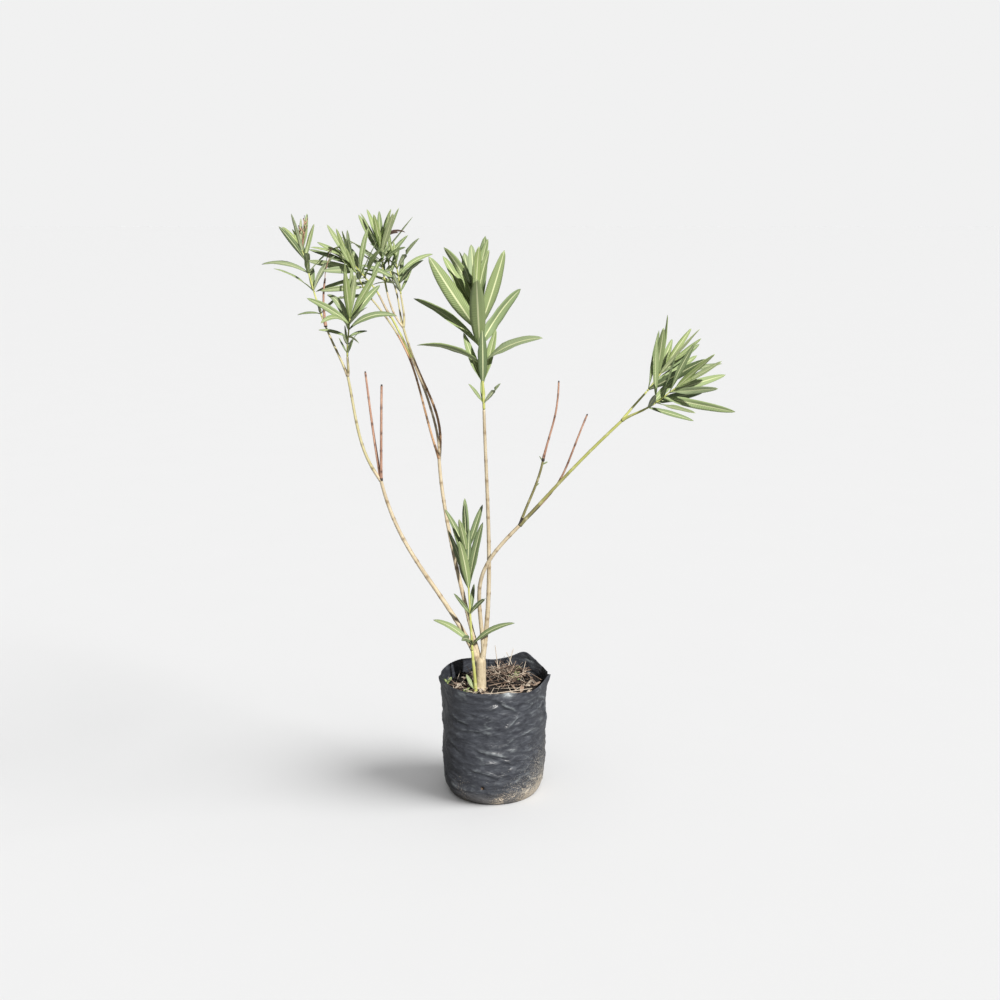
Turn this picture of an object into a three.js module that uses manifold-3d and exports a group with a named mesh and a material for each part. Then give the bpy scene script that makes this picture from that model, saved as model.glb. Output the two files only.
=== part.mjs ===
// A young oleander in a black planter bag, about 0.9 m tall.
//
// A short stump stands in the filled bag. Boughs rise from it and fork in threes, as oleander does,
// and each living shoot ends in whorls of three long narrow leaves. A green sucker grows beside the stump,
// and several dry twigs have lost their leaves.
//
// Millimetres, +Z up, the origin at the centre of the bag's underside, +X to the right, +Y to the back.

import * as THREE from 'three';
import { mergeGeometries, mergeVertices } from 'three/addons/utils/BufferGeometryUtils.js';
import Module from 'manifold-3d';

const wasm = await Module();
wasm.setup();

// ---------------------------------------------------------------- driving dimensions

const gap = 0.3;                       // clearance between neighbouring pieces

const bag = {
  rim: 185,                            // height of the rim, where it isn't lifted
  foot: 70,                            // radius of the flat underside
  belly: 81,                           // radius of the standing wall
  rounding: 12,                        // how soon the foot swells out to the belly
  flare: 3,                            // how far the rim opens past the belly
  wall: 1.4,
  ripple: 1.1,                         // depth of the soft folds round the wall
  sides: 36,
  levels: [0, 4, 12, 32, 85, 140],
};

// Where the rim stands higher or lower: degrees round from +X, width in degrees, rise.
const rimLifts = [
  { at: 52, width: 15, rise: 14 },
  { at: 92, width: 14, rise: -5 },
  { at: 138, width: 20, rise: 2 },
  { at: 312, width: 18, rise: -5 },
];

const drains = { at: [18, 78, 138, 198, 258], radius: 2.6, height: 31 };

const soil = {
  top: 166,
  lump: 2.2,                           // unevenness of the surface
  heap: { at: 48, out: 46, width: 30, rise: 8 },
  rings: [0.8, 0.52, 0.24],            // shares of the radius, from the wall inwards
  seat: 158,                           // level of the sockets that the stems stand in
};

const leafStations = [0, 0.07, 0.3, 0.72, 1];   // shares of a leaf's length that get a section
const leafForm = {
  widest: 0.95,                        // under 1, so the widest place lies below the middle
  fullness: 0.75,                      // under 1, so the middle of the blade keeps nearly its full width
  fold: 0.2,                           // how far the edges stand up, as a share of the half width
  thick: 0.012,                        // thickness at the rib, as a share of the length
  sag: 0.03,                           // how far a tip hangs, as a share of the length
  clearance: 2.6,                      // room kept round each point of a blade
};
const sun = { from: [58, 285], pull: 0.6 };      // lean and heading of the light, and how far blades turn

// Each limb grows from a place on another limb, or from the soil, to a point. leave and arrive are its
// directions at the two ends: the lean from upright and the heading round from +X, in degrees.
const limbs = {
  trunk: {
    foot: [-19, -12], to: [-19.5, -12, 219],
    leave: [0, 0], arrive: [2, 180], radii: [7.6, 7.8], flare: 1.2,
  },
  sucker: {
    foot: [-27, -24], to: [-32, -28, 234],
    leave: [0, 0], arrive: [4, 220], radii: [2.7, 2.1], flare: 0.6,
  },

  bough_left: {
    from: 'trunk', at: 0.84, to: [-171, 32, 487],
    leave: [26, 155], arrive: [12, 178], radii: [3.9, 2.5], flare: 0.7, reach: 0.4,
  },
  bough_middle: {
    from: 'trunk', at: 0.88, to: [-84, 72, 513],
    leave: [21, 135], arrive: [4, 123], radii: [3.4, 2.5], flare: 0.5, reach: 0.28,
  },
  bough_centre: {
    from: 'trunk', at: 0.86, to: [-13, -56, 608],
    leave: [11, 345], arrive: [8, 262], radii: [3.6, 2.1], flare: 0.9, reach: 0.3,
  },
  bough_right: {
    from: 'bough_centre', at: 0.08, to: [41, -46, 436],
    leave: [6, 220], arrive: [45, 0], radii: [3.2, 2.6], reach: 0.5,
  },

  branch_left: {
    from: 'bough_left', at: 1, to: [-220, 54, 643], leave: [40, 168], arrive: [13, 157], radii: [2.4, 1.9],
  },
  stub_left_long: {
    from: 'bough_left', at: 1, to: [-193, 54, 648], leave: [14, 135], arrive: [10, 132], radii: [1.8, 1.3],
  },
  stub_left_short: {
    from: 'bough_left', at: 1, to: [-165, 12, 634], leave: [8, 285], arrive: [6, 293], radii: [1.8, 1.5],
  },

  branch_left_outer: {
    from: 'branch_left', at: 1, to: [-257, 66, 728], leave: [22, 161], arrive: [20, 160], radii: [1.7, 1.5],
  },
  branch_left_inner: {
    from: 'branch_left', at: 1, to: [-218, 44, 672], leave: [17, 316], arrive: [10, 276], radii: [1.8, 1.7],
  },
  stub_left_outer: {
    from: 'branch_left_outer', at: 0.86, to: [-250, 60, 786],
    leave: [6, 200], arrive: [12, 350], radii: [1.6, 1.2],
  },

  branch_middle_left: {
    from: 'bough_middle', at: 1, to: [-185, 84, 755],
    leave: [18, 180], arrive: [40, 180], radii: [1.8, 1.4], reach: 0.45,
  },
  branch_middle_high: {
    from: 'bough_middle', at: 1, to: [-157, 104, 726],
    leave: [24, 80], arrive: [30, 171], radii: [2, 1.7], reach: 0.25,
  },
  branch_middle_right: {
    from: 'bough_middle', at: 1, to: [-140, 124, 709],
    leave: [50, 84], arrive: [15, 165], radii: [2.1, 1.8], reach: 0.5,
  },
  branch_middle_outer: {
    from: 'branch_middle_high', at: 1, to: [-184, 104, 772],
    leave: [38, 183], arrive: [42, 188], radii: [1.6, 1.4],
  },
  branch_top: {
    from: 'branch_middle_right', at: 1, to: [-170, 146, 785],
    leave: [46, 160], arrive: [14, 139], radii: [1.5, 1.4],
  },
  branch_back: {
    from: 'branch_middle_right', at: 1, to: [-156, 168, 769],
    leave: [45, 114], arrive: [29, 135], radii: [1.4, 1.2],
  },
  branch_middle_inner: {
    from: 'branch_middle_right', at: 1, to: [-143, 131, 757],
    leave: [16, 38], arrive: [6, 169], radii: [1.6, 1.4],
  },

  branch_right: {
    from: 'bough_right', at: 1, to: [183, -96, 600],
    leave: [41, 348], arrive: [45, 345], radii: [2.5, 2], reach: 0.4,
  },
  twig_right: {
    from: 'bough_right', at: 1, to: [72, -64, 536], leave: [18, 332], arrive: [11, 329], radii: [1.7, 1.5],
  },
  twig_right_dry: {
    from: 'twig_right', at: 1, to: [93, -76, 652],
    leave: [14, 331], arrive: [2, 300], radii: [1.4, 1.1], reach: 0.45,
  },
  stub_right: {
    from: 'bough_right', at: 1, to: [134, -78, 605],
    leave: [47, 8], arrive: [23, 12], radii: [1.5, 1.1], reach: 0.5,
  },
  branch_right_upper: {
    from: 'branch_right', at: 1, to: [216, -94, 640], leave: [38, 20], arrive: [40, 0], radii: [1.6, 1.4],
  },
  branch_right_lower: {
    from: 'branch_right', at: 1, to: [213, -116, 619],
    leave: [54, 330], arrive: [59, 336], radii: [1.7, 1.5],
  },
};

// Each shoot grows on from the tip of a limb and carries the leaves. leaf, spread and arch are the length of
// the leaves, their angle from the stem and how far they bend over, in even steps from the lowest whorl to
// the highest.
const shoots = {
  foliage_sucker: {
    on: 'sucker', to: [-40, -33, 401], whorls: 6, crowd: 1.7, turn: 18, seed: 368,
    leaf: [77, 52, 99, 70, 74, 69], spread: [44, 31, 13, 12, 20, 3], arch: [39, 17, 12, 1, 2, 1],
    width: 0.16, radii: [2, 1],
  },
  foliage_left_outer: {
    on: 'branch_left_outer', to: [-287, 79, 831], whorls: 6, crowd: 1.9, turn: 37, seed: 640,
    leaf: [49, 69, 89, 62, 56, 41], spread: [58, 35, 46, 24, 23, 19], arch: [20, 33, 37, 12, -8, 9],
    width: 0.15, radii: [1.5, 0.9], stalks: { count: 4, length: 44, spread: 14 },
  },
  foliage_left_inner: {
    on: 'branch_left_inner', to: [-211, 30, 735], whorls: 7, crowd: 1.4, turn: 61, seed: 320,
    leaf: [29, 30, 42, 88, 84, 78, 68], spread: [30, 41, 68, 34, 52, 21, 2], arch: [-4, 2, 26, 71, 14, 0, 4],
    width: 0.16, radii: [1.6, 0.9],
  },
  foliage_middle_outer: {
    on: 'branch_middle_outer', to: [-217, 84, 814], whorls: 6, crowd: 1.3, turn: 146, seed: 324,
    leaf: [51, 79, 76, 58, 58], spread: [60, 55, 33, 28, 21], arch: [20, 10, 13, 9],
    width: 0.155, radii: [1.4, 0.9],
  },
  foliage_middle_left: {
    on: 'branch_middle_left', to: [-205, 62, 795], whorls: 4, crowd: 1.2, turn: 20, seed: 21,
    leaf: [55, 70, 48], spread: [55, 57, 15], arch: [16, 1, -3],
    width: 0.16, radii: [1.3, 0.9],
  },
  foliage_top: {
    on: 'branch_top', to: [-173, 140, 823], whorls: 6, crowd: 1.5, turn: 82, seed: 435,
    leaf: [41, 64, 78, 71, 62], spread: [58, 41, 47, 32, 9], arch: [5, 22, -6, 8],
    width: 0.155, radii: [1.4, 0.9],
  },
  foliage_middle_inner: {
    on: 'branch_middle_inner', to: [-150, 126, 812], whorls: 6, crowd: 1.3, turn: 24, seed: 830,
    leaf: [45, 72, 70, 75, 66], spread: [35, 47, 53, 20, 7], arch: [1, 37, 18, 2],
    width: 0.15, radii: [1.4, 0.9],
  },
  foliage_back: {
    on: 'branch_back', to: [-167, 175, 811], whorls: 4, crowd: 1.2, turn: 6, seed: 148,
    leaf: [53, 67, 46], spread: [57, 30, 12], arch: [17, -7, -15],
    width: 0.155, radii: [1.2, 0.8],
  },
  foliage_centre: {
    on: 'bough_centre', to: [-24, -52, 763], whorls: 8, crowd: 1.5, turn: 99, seed: 153,
    leaf: [42, 77, 115, 131, 132, 113, 95, 87], spread: [34, 16, 52, 39, 32, 18, 14, 8],
    arch: [1, -4, 37, 22, -6, 3, 20, 11],
    width: 0.17, radii: [2.1, 1],
  },
  foliage_right_upper: {
    on: 'branch_right_upper', to: [241, -90, 674], whorls: 4, crowd: 1.1, turn: 169, seed: 21,
    leaf: [93, 94, 80, 62], spread: [35, 35, 26, 14], arch: [-4, 6, -1, -7],
    width: 0.15, radii: [1.4, 0.9],
  },
  foliage_right_lower: {
    on: 'branch_right_lower', to: [252, -129, 650], whorls: 5, crowd: 1.1, turn: 353, seed: 398,
    leaf: [71, 100, 86, 78], spread: [46, 54, 46, 11], arch: [4, 2, -4, -5],
    width: 0.155, radii: [1.5, 0.9],
  },
};

const whorl = { leaves: 3, step: 60 };           // leaves at a node, and how far the next node is turned
const uneven = { length: 0.12, spread: 6, heading: 11, arch: 8, twist: 16 };
const nudges = [0, 16, -16, 32, -32];            // turns tried, in degrees, when a leaf meets a neighbour
const shootSides = 4;
const limbSides = { thick: 8, thin: 6, limit: 3 };   // sides of a limb, over and under that foot radius
const limbStep = 38;                             // length of a limb between its sections

// ---------------------------------------------------------------- helpers

const radians = THREE.MathUtils.degToRad;
const upright = new THREE.Vector3(0, 0, 1);

// Draws numbers between -1 and 1, the same ones for the same seed (Park and Miller's generator).
function seeded(seed) {
  const modulus = 2147483647;
  let state = seed * 104729;
  return () => {
    state = (state * 16807) % modulus;
    return (2 * state) / modulus - 1;
  };
}

// The value at t, from 0 to 1, along a row of evenly spaced values.
function along(values, t) {
  const place = t * (values.length - 1);
  const before = Math.min(Math.floor(place), values.length - 2);
  return THREE.MathUtils.lerp(values[before], values[before + 1], place - before);
}

// A bump round the bag that is 1 at the given angle and fades over its width, in degrees.
function bump(angle, at, width) {
  const off = THREE.MathUtils.euclideanModulo(angle - at + 180, 360) - 180;
  return Math.exp(-((off / width) ** 2));
}

function direction([lean, heading]) {
  const out = Math.sin(radians(lean));
  return new THREE.Vector3(
    out * Math.cos(radians(heading)),
    out * Math.sin(radians(heading)),
    Math.cos(radians(lean)),
  );
}

function bentCurve(from, to, leave, arrive, reach = 0.35) {
  const handle = from.distanceTo(to) * reach;
  return new THREE.CubicBezierCurve3(
    from,
    from.clone().addScaledVector(leave, handle),
    to.clone().addScaledVector(arrive, -handle),
    to,
  );
}

function solidOf(geometry) {
  const bare = geometry.clone().deleteAttribute('normal').deleteAttribute('uv');
  const merged = mergeVertices(bare, 1e-4);
  return new wasm.Manifold(new wasm.Mesh({
    numProp: 3,
    vertProperties: merged.attributes.position.array,
    triVerts: new Uint32Array(merged.index.array),
  }));
}

function geometryOf(solid) {
  const { vertProperties, triVerts } = solid.getMesh();
  const geometry = new THREE.BufferGeometry();
  geometry.setAttribute('position', new THREE.BufferAttribute(vertProperties, 3));
  geometry.setIndex(new THREE.BufferAttribute(triVerts, 1));
  geometry.computeVertexNormals();
  return geometry;
}

// The outer skin of a solid's largest body: loose scraps are dropped and sealed hollows are filled.
function mainBody(solid) {
  return solid.decompose().reduce((largest, body) => (body.volume() > largest.volume() ? body : largest));
}

// Moves every vertex of a geometry to the place that the function gives for it.
function reshape(geometry, place) {
  const position = geometry.attributes.position;
  const vertex = new THREE.Vector3();
  for (let i = 0; i < position.count; i++) {
    vertex.fromBufferAttribute(position, i);
    position.setXYZ(i, ...place(vertex).toArray());
  }
  return geometry;
}

// ---------------------------------------------------------------- bag and soil

function bagRadius(angle, height) {
  const a = radians(angle);
  const swell = 1 - Math.exp(-height / bag.rounding);
  const up = height / bag.rim;
  const folds = Math.sin(3 * a + 1.1) + 0.6 * Math.sin(5 * a - 0.6);
  return bag.foot + (bag.belly - bag.foot) * swell + bag.flare * up ** 4 + bag.ripple * folds * swell;
}

function rimHeight(angle) {
  return rimLifts.reduce((height, lift) => height + lift.rise * bump(angle, lift.at, lift.width), bag.rim);
}

function soilHeight(angle, radius) {
  const a = radians(angle);
  const share = radius / bag.belly;
  const x = radius * Math.cos(a) - soil.heap.out * Math.cos(radians(soil.heap.at));
  const y = radius * Math.sin(a) - soil.heap.out * Math.sin(radians(soil.heap.at));
  const heap = soil.heap.rise * Math.exp(-(x * x + y * y) / soil.heap.width ** 2);
  return soil.top + heap + soil.lump * share * (Math.sin(3 * a + 2) + Math.sin(7 * a + 5 * share));
}

// A turned shape about Z. Each profile entry gives the radius and the height at an angle in degrees.
function turned(profile) {
  const points = profile.map((entry, i) => new THREE.Vector2(entry.onAxis ? 0 : 1, i));
  const lathe = new THREE.LatheGeometry(points, bag.sides);
  lathe.rotateX(Math.PI / 2);
  return reshape(lathe, (vertex) => {
    const entry = profile[Math.round(vertex.z)];
    const step = 360 / bag.sides;
    const angle = Math.round(THREE.MathUtils.radToDeg(Math.atan2(vertex.y, vertex.x)) / step) * step;
    const radius = entry.onAxis ? 0 : entry.radius(angle);
    return new THREE.Vector3(
      radius * Math.cos(radians(angle)),
      radius * Math.sin(radians(angle)),
      entry.height(angle, radius),
    );
  });
}

function bagSolid() {
  const { levels, wall } = bag;
  const outside = levels.map((z) => ({ radius: (a) => bagRadius(a, z), height: () => z }));
  const rimAt = (inset) => ({ radius: (a) => bagRadius(a, bag.rim) - inset, height: rimHeight });
  const inward = levels.slice(1).reverse();
  const inside = inward.map((z) => ({ radius: (a) => bagRadius(a, z) - wall, height: () => z }));
  const floor = levels[1] - 2 * wall;
  const profile = [
    { onAxis: true, height: () => 0 },
    ...outside,
    rimAt(0),
    rimAt(wall),
    ...inside,
    { radius: () => bag.foot - wall, height: () => floor },
    { onAxis: true, height: () => floor },
  ];
  let solid = solidOf(turned(profile));
  for (const angle of drains.at) {
    const punch = new THREE.CylinderGeometry(drains.radius, drains.radius, 12, 6);
    punch.rotateZ(Math.PI / 2).translate(bag.belly, 0, drains.height);
    punch.rotateZ(radians(angle));
    solid = solid.subtract(solidOf(punch));
  }
  return solid;
}

function soilSolid() {
  const inset = bag.wall + 1.3 * gap;
  const floor = bag.levels[1] - 2 * bag.wall + gap;
  const walls = bag.levels.slice(1).map((z) => ({ radius: (a) => bagRadius(a, z) - inset, height: () => z }));
  const edge = (a) => bagRadius(a, bag.levels.at(-1)) - inset;
  const surface = soil.rings.map((share) => ({ radius: (a) => edge(a) * share, height: soilHeight }));
  const profile = [
    { onAxis: true, height: () => floor },
    { radius: () => bag.foot - inset, height: () => floor },
    ...walls,
    { radius: (a) => edge(a) * 0.97, height: (a, r) => soilHeight(a, r) - 3 },
    ...surface,
    { onAxis: true, height: () => soilHeight(0, 0) },
  ];
  let solid = solidOf(turned(profile));
  for (const limb of Object.values(limbs).filter((each) => each.foot)) {
    const depth = 60;
    const radius = limb.radii[0] + limb.flare + gap;
    const socket = new THREE.CylinderGeometry(radius, radius, depth, 16);
    socket.rotateX(Math.PI / 2).translate(limb.foot[0], limb.foot[1], soil.seat + depth / 2);
    solid = solid.subtract(solidOf(socket));
  }
  return solid;
}

// ---------------------------------------------------------------- limbs

// A round tube along a curve with flat ends. grow makes it thicker and longer by that much all round.
function tube(curve, radiusAt, sides, steps, grow = 0) {
  const frames = curve.computeFrenetFrames(steps);
  const cylinder = new THREE.CylinderGeometry(1, 1, 1, sides, steps);
  return reshape(cylinder, (vertex) => {
    const ring = Math.round((vertex.y + 0.5) * steps);
    const t = ring / steps;
    const radius = radiusAt(t) + grow;
    const past = ring === 0 ? -grow : ring === steps ? grow : 0;
    return curve.getPointAt(t)
      .addScaledVector(frames.tangents[ring], past)
      .addScaledVector(frames.binormals[ring], vertex.x * radius)
      .addScaledVector(frames.normals[ring], vertex.z * radius);
  });
}

function limbRadius({ radii: [foot, tip], flare = 0 }, t) {
  return THREE.MathUtils.lerp(foot, tip, t) + flare * Math.exp(-9 * t);
}

// A limb's foot is sunk in the limb that carries it, so the cut between them leaves a close-fitting joint.
function limbStart({ from, at, foot }) {
  if (!from) return new THREE.Vector3(foot[0], foot[1], soil.seat + gap);
  const carrier = limbCurves[from];
  return carrier.getPoint(at).addScaledVector(carrier.getTangent(at), -limbRadius(limbs[from], at));
}

const limbCurves = {};
for (const [name, limb] of Object.entries(limbs)) {
  const start = limbStart(limb);
  const end = new THREE.Vector3(...limb.to);
  limbCurves[name] = bentCurve(start, end, direction(limb.leave), direction(limb.arrive), limb.reach);
}

function limbSolid(name, grow = 0) {
  const curve = limbCurves[name];
  const steps = Math.max(3, Math.round(curve.getLength() / limbStep));
  const sides = limbs[name].radii[0] > limbSides.limit ? limbSides.thick : limbSides.thin;
  return solidOf(tube(curve, (t) => limbRadius(limbs[name], t), sides, steps, grow));
}

// ---------------------------------------------------------------- leaves

// The cross-section of a leaf at a share of its length. The middle line leaves the stem at an angle, bends
// over in an arc and sags a little, and the blade turns on it, partly towards the sun.
function leafSection(leaf, share) {
  const { root, stem, out, spread, length } = leaf;
  const bend = Math.abs(leaf.arch) < 1e-3 ? 1e-3 : leaf.arch;
  const angle = spread + bend * share;
  const rise = (length * (Math.sin(angle) - Math.sin(spread))) / bend;
  const reach = (length * (Math.cos(spread) - Math.cos(angle))) / bend;
  const point = root.clone().addScaledVector(stem, rise).addScaledVector(out, reach);
  point.z -= leafForm.sag * length * share * share;
  const tangent = stem.clone().multiplyScalar(Math.cos(angle)).addScaledVector(out, Math.sin(angle));
  const face = stem.clone().multiplyScalar(Math.sin(angle)).addScaledVector(out, -Math.cos(angle));
  const side = face.clone().cross(tangent);
  const light = direction(sun.from);
  const onFace = light.dot(face);
  const turn = Math.atan(light.dot(side) / Math.max(0.05, Math.abs(onFace))) * Math.sign(onFace);
  const roll = (leaf.twist - sun.pull * turn) * Math.min(1, 2.5 * share);
  face.applyAxisAngle(tangent, roll);
  side.applyAxisAngle(tangent, roll);
  const width = leaf.halfWidth * Math.sin(Math.PI * share ** leafForm.widest) ** leafForm.fullness;
  return { point, face, side, width };
}

// A four-cornered blade, folded along its rib, from a sphere with four sides: its poles are the two ends.
// The lower half mirrors the upper one, so both are split along the same diagonals and never cross.
function leafGeometry(leaf) {
  const stations = leafStations.length - 1;
  const upper = new THREE.SphereGeometry(1, 2, stations, 0, Math.PI);
  const lower = upper.clone().scale(1, 1, -1);
  lower.index.array.reverse();
  return reshape(mergeGeometries([upper, lower]), (vertex) => {
    const ring = Math.round((Math.acos(THREE.MathUtils.clamp(vertex.y, -1, 1)) / Math.PI) * stations);
    const { point, face, side, width } = leafSection(leaf, leafStations[ring]);
    if (ring === 0 || ring === stations) return point;
    if (Math.abs(vertex.x) > Math.abs(vertex.z)) {
      return point
        .addScaledVector(side, Math.sign(vertex.x) * width)
        .addScaledVector(face, leafForm.fold * width);
    }
    return point.addScaledVector(face, (Math.sign(vertex.z) * leafForm.thick * leaf.length) / 2);
  });
}

// ---------------------------------------------------------------- room

// Points over a leaf from a share of its length on, with the room that each takes, to keep the pieces apart.
function leafRoom(leaf, from) {
  const points = [];
  for (let share = from; share < 0.99; share += 0.1) {
    const { point, side, width } = leafSection(leaf, share);
    for (const across of [-0.8, 0, 0.8]) {
      points.push({ at: point.clone().addScaledVector(side, across * width), room: leafForm.clearance });
    }
  }
  return points;
}

function curveRoom(curve, radiusAt) {
  const count = Math.ceil(curve.getLength() / 6);
  const roomAt = (t) => ({ at: curve.getPoint(t), room: radiusAt(t) });
  return Array.from({ length: count + 1 }, (_, i) => roomAt(i / count));
}

function apart(some, others) {
  return some.every((a) => others.every((b) => a.at.distanceTo(b.at) > a.room + b.room));
}

// ---------------------------------------------------------------- shoots

function shootCurve({ on, to }) {
  const tangent = limbCurves[on].getTangent(1);
  const start = limbCurves[on].getPoint(1).addScaledVector(tangent, gap);
  const tip = new THREE.Vector3(...to);
  return bentCurve(start, tip, tangent, tip.clone().sub(start).normalize());
}

function shootRadius({ radii: [foot, tip] }, t) {
  return THREE.MathUtils.lerp(foot, tip, t);
}

// The leaves of one shoot, whorl by whorl from the lowest. Each keeps clear of its own limb's room and,
// from its foot on, of the room that other pieces take. A leaf that finds no clear heading is skipped.
function growLeaves(shoot, curve, ownRoom, otherRoom) {
  const draw = seeded(shoot.seed);
  const leaves = [];
  for (let node = 0; node < shoot.whorls; node++) {
    const rise = node / (shoot.whorls - 1);
    const t = 0.04 + 0.94 * (1 - (1 - rise) ** shoot.crowd);
    const stem = curve.getTangent(t);
    const turnTo = new THREE.Quaternion().setFromUnitVectors(upright, stem);
    for (let k = 0; k < whorl.leaves; k++) {
      const length = along(shoot.leaf, rise) * (1 + uneven.length * draw());
      const spread = radians(along(shoot.spread, rise) + uneven.spread * draw());
      const arch = radians(along(shoot.arch, rise) + uneven.arch * draw());
      const heading = shoot.turn + whorl.step * node + (360 / whorl.leaves) * k + uneven.heading * draw();
      const twist = radians(uneven.twist * draw());
      const halfWidth = (length * shoot.width) / 2;
      for (const nudge of nudges) {
        const a = radians(heading + nudge);
        const out = new THREE.Vector3(Math.cos(a), Math.sin(a), 0).applyQuaternion(turnTo);
        const root = curve.getPoint(t).addScaledVector(out, -0.15 * shootRadius(shoot, t));
        const leaf = { root, stem, out, spread, arch, length, twist, halfWidth };
        if (apart(leafRoom(leaf, 0.1), otherRoom) && apart(leafRoom(leaf, 0.3), ownRoom)) {
          leaves.push(leaf);
          break;
        }
      }
    }
  }
  return leaves;
}

// Thin dry flower stalks that stand up from the tip of a shoot.
function growStalks({ stalks, turn }, curve) {
  if (!stalks) return [];
  const root = curve.getPoint(0.96);
  return Array.from({ length: stalks.count }, (_, i) => {
    const lean = stalks.spread * (0.4 + 0.6 * Math.abs(Math.sin(i + 1)));
    const way = direction([lean, turn + (360 / stalks.count) * i]);
    const tip = root.clone().addScaledVector(way, stalks.length * (0.75 + 0.25 * Math.cos(2 * i)));
    return tube(new THREE.LineCurve3(root, tip), (t) => 0.7 - 0.25 * t, 4, 2);
  });
}

// ---------------------------------------------------------------- the object

const tints = {
  film: { color: 0x2b2e31, roughness: 0.38 },
  earth: { color: 0x3a2c22, roughness: 1 },
  bark: { color: 0xb9a688, roughness: 0.8 },
  green: { color: 0xa3b060, roughness: 0.6 },
  dry: { color: 0xa06f55, roughness: 0.9 },
  foliage: { color: 0x7f9a63, roughness: 0.55 },
};
const finishes = {};
for (const [name, look] of Object.entries(tints)) {
  finishes[name] = new THREE.MeshStandardMaterial({ ...look, metalness: 0 });
}

function barkOf(name) {
  if (name.startsWith('stub') || name.endsWith('dry')) return finishes.dry;
  return ['sucker', 'branch_right', 'twig_right'].includes(name) ? finishes.green : finishes.bark;
}

const plant = new THREE.Group();

function addPiece(name, solid, finish) {
  const mesh = new THREE.Mesh(geometryOf(solid), finish);
  mesh.name = name;
  plant.add(mesh);
}

addPiece('bag', bagSolid(), finishes.film);
addPiece('soil', soilSolid(), finishes.earth);

const swollen = [];                    // the limbs made so far, each grown by the gap
for (const name of Object.keys(limbs)) {
  let solid = limbSolid(name);
  for (const other of swollen) solid = solid.subtract(other);
  addPiece(name, mainBody(solid), barkOf(name));
  swollen.push(limbSolid(name, gap));
}

const shootCurves = {};
for (const [name, shoot] of Object.entries(shoots)) shootCurves[name] = shootCurve(shoot);

const rooms = {};                      // the room that each limb, and then each shoot with its leaves, takes
for (const name of Object.keys(limbs)) {
  rooms[name] = curveRoom(limbCurves[name], (t) => limbRadius(limbs[name], t));
}
for (const name of Object.keys(shoots)) {
  rooms[name] = curveRoom(shootCurves[name], (t) => shootRadius(shoots[name], t));
}

for (const [name, shoot] of Object.entries(shoots)) {
  const curve = shootCurves[name];
  const others = Object.keys(rooms).filter((other) => other !== name && other !== shoot.on);
  const leaves = growLeaves(shoot, curve, rooms[shoot.on], others.flatMap((other) => rooms[other]));
  const stem = tube(curve, (t) => shootRadius(shoot, t), shootSides, 4);
  const pieces = [stem, ...leaves.map(leafGeometry), ...growStalks(shoot, curve)];
  const fused = pieces.map(solidOf).reduce((whole, piece) => whole.add(piece));
  addPiece(name, mainBody(fused), finishes.foliage);
  rooms[name].push(...leaves.flatMap((leaf) => leafRoom(leaf, 0.1)));
}

export default plant;
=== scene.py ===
# A young oleander in a black planter bag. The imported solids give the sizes; this script gives them
# their fine shape and finish. Metres, +Z up, +Y to the back, the origin at the centre of the underside.

import math

import bmesh
import bpy
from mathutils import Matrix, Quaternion, Vector, kdtree, noise


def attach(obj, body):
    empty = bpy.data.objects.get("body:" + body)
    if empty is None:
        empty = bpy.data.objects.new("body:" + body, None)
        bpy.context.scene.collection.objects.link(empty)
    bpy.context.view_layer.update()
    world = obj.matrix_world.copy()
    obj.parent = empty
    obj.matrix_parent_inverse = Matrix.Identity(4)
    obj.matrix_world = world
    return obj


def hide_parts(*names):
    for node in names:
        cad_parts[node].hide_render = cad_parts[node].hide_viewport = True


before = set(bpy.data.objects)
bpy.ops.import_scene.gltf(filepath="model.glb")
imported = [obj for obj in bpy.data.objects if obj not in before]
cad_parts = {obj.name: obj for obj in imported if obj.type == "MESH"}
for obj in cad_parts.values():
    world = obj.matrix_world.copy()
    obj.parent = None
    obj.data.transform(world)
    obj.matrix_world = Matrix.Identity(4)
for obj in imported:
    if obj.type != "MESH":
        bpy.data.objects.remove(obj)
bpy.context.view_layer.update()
upright = Vector((0, 0, 1))

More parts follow.
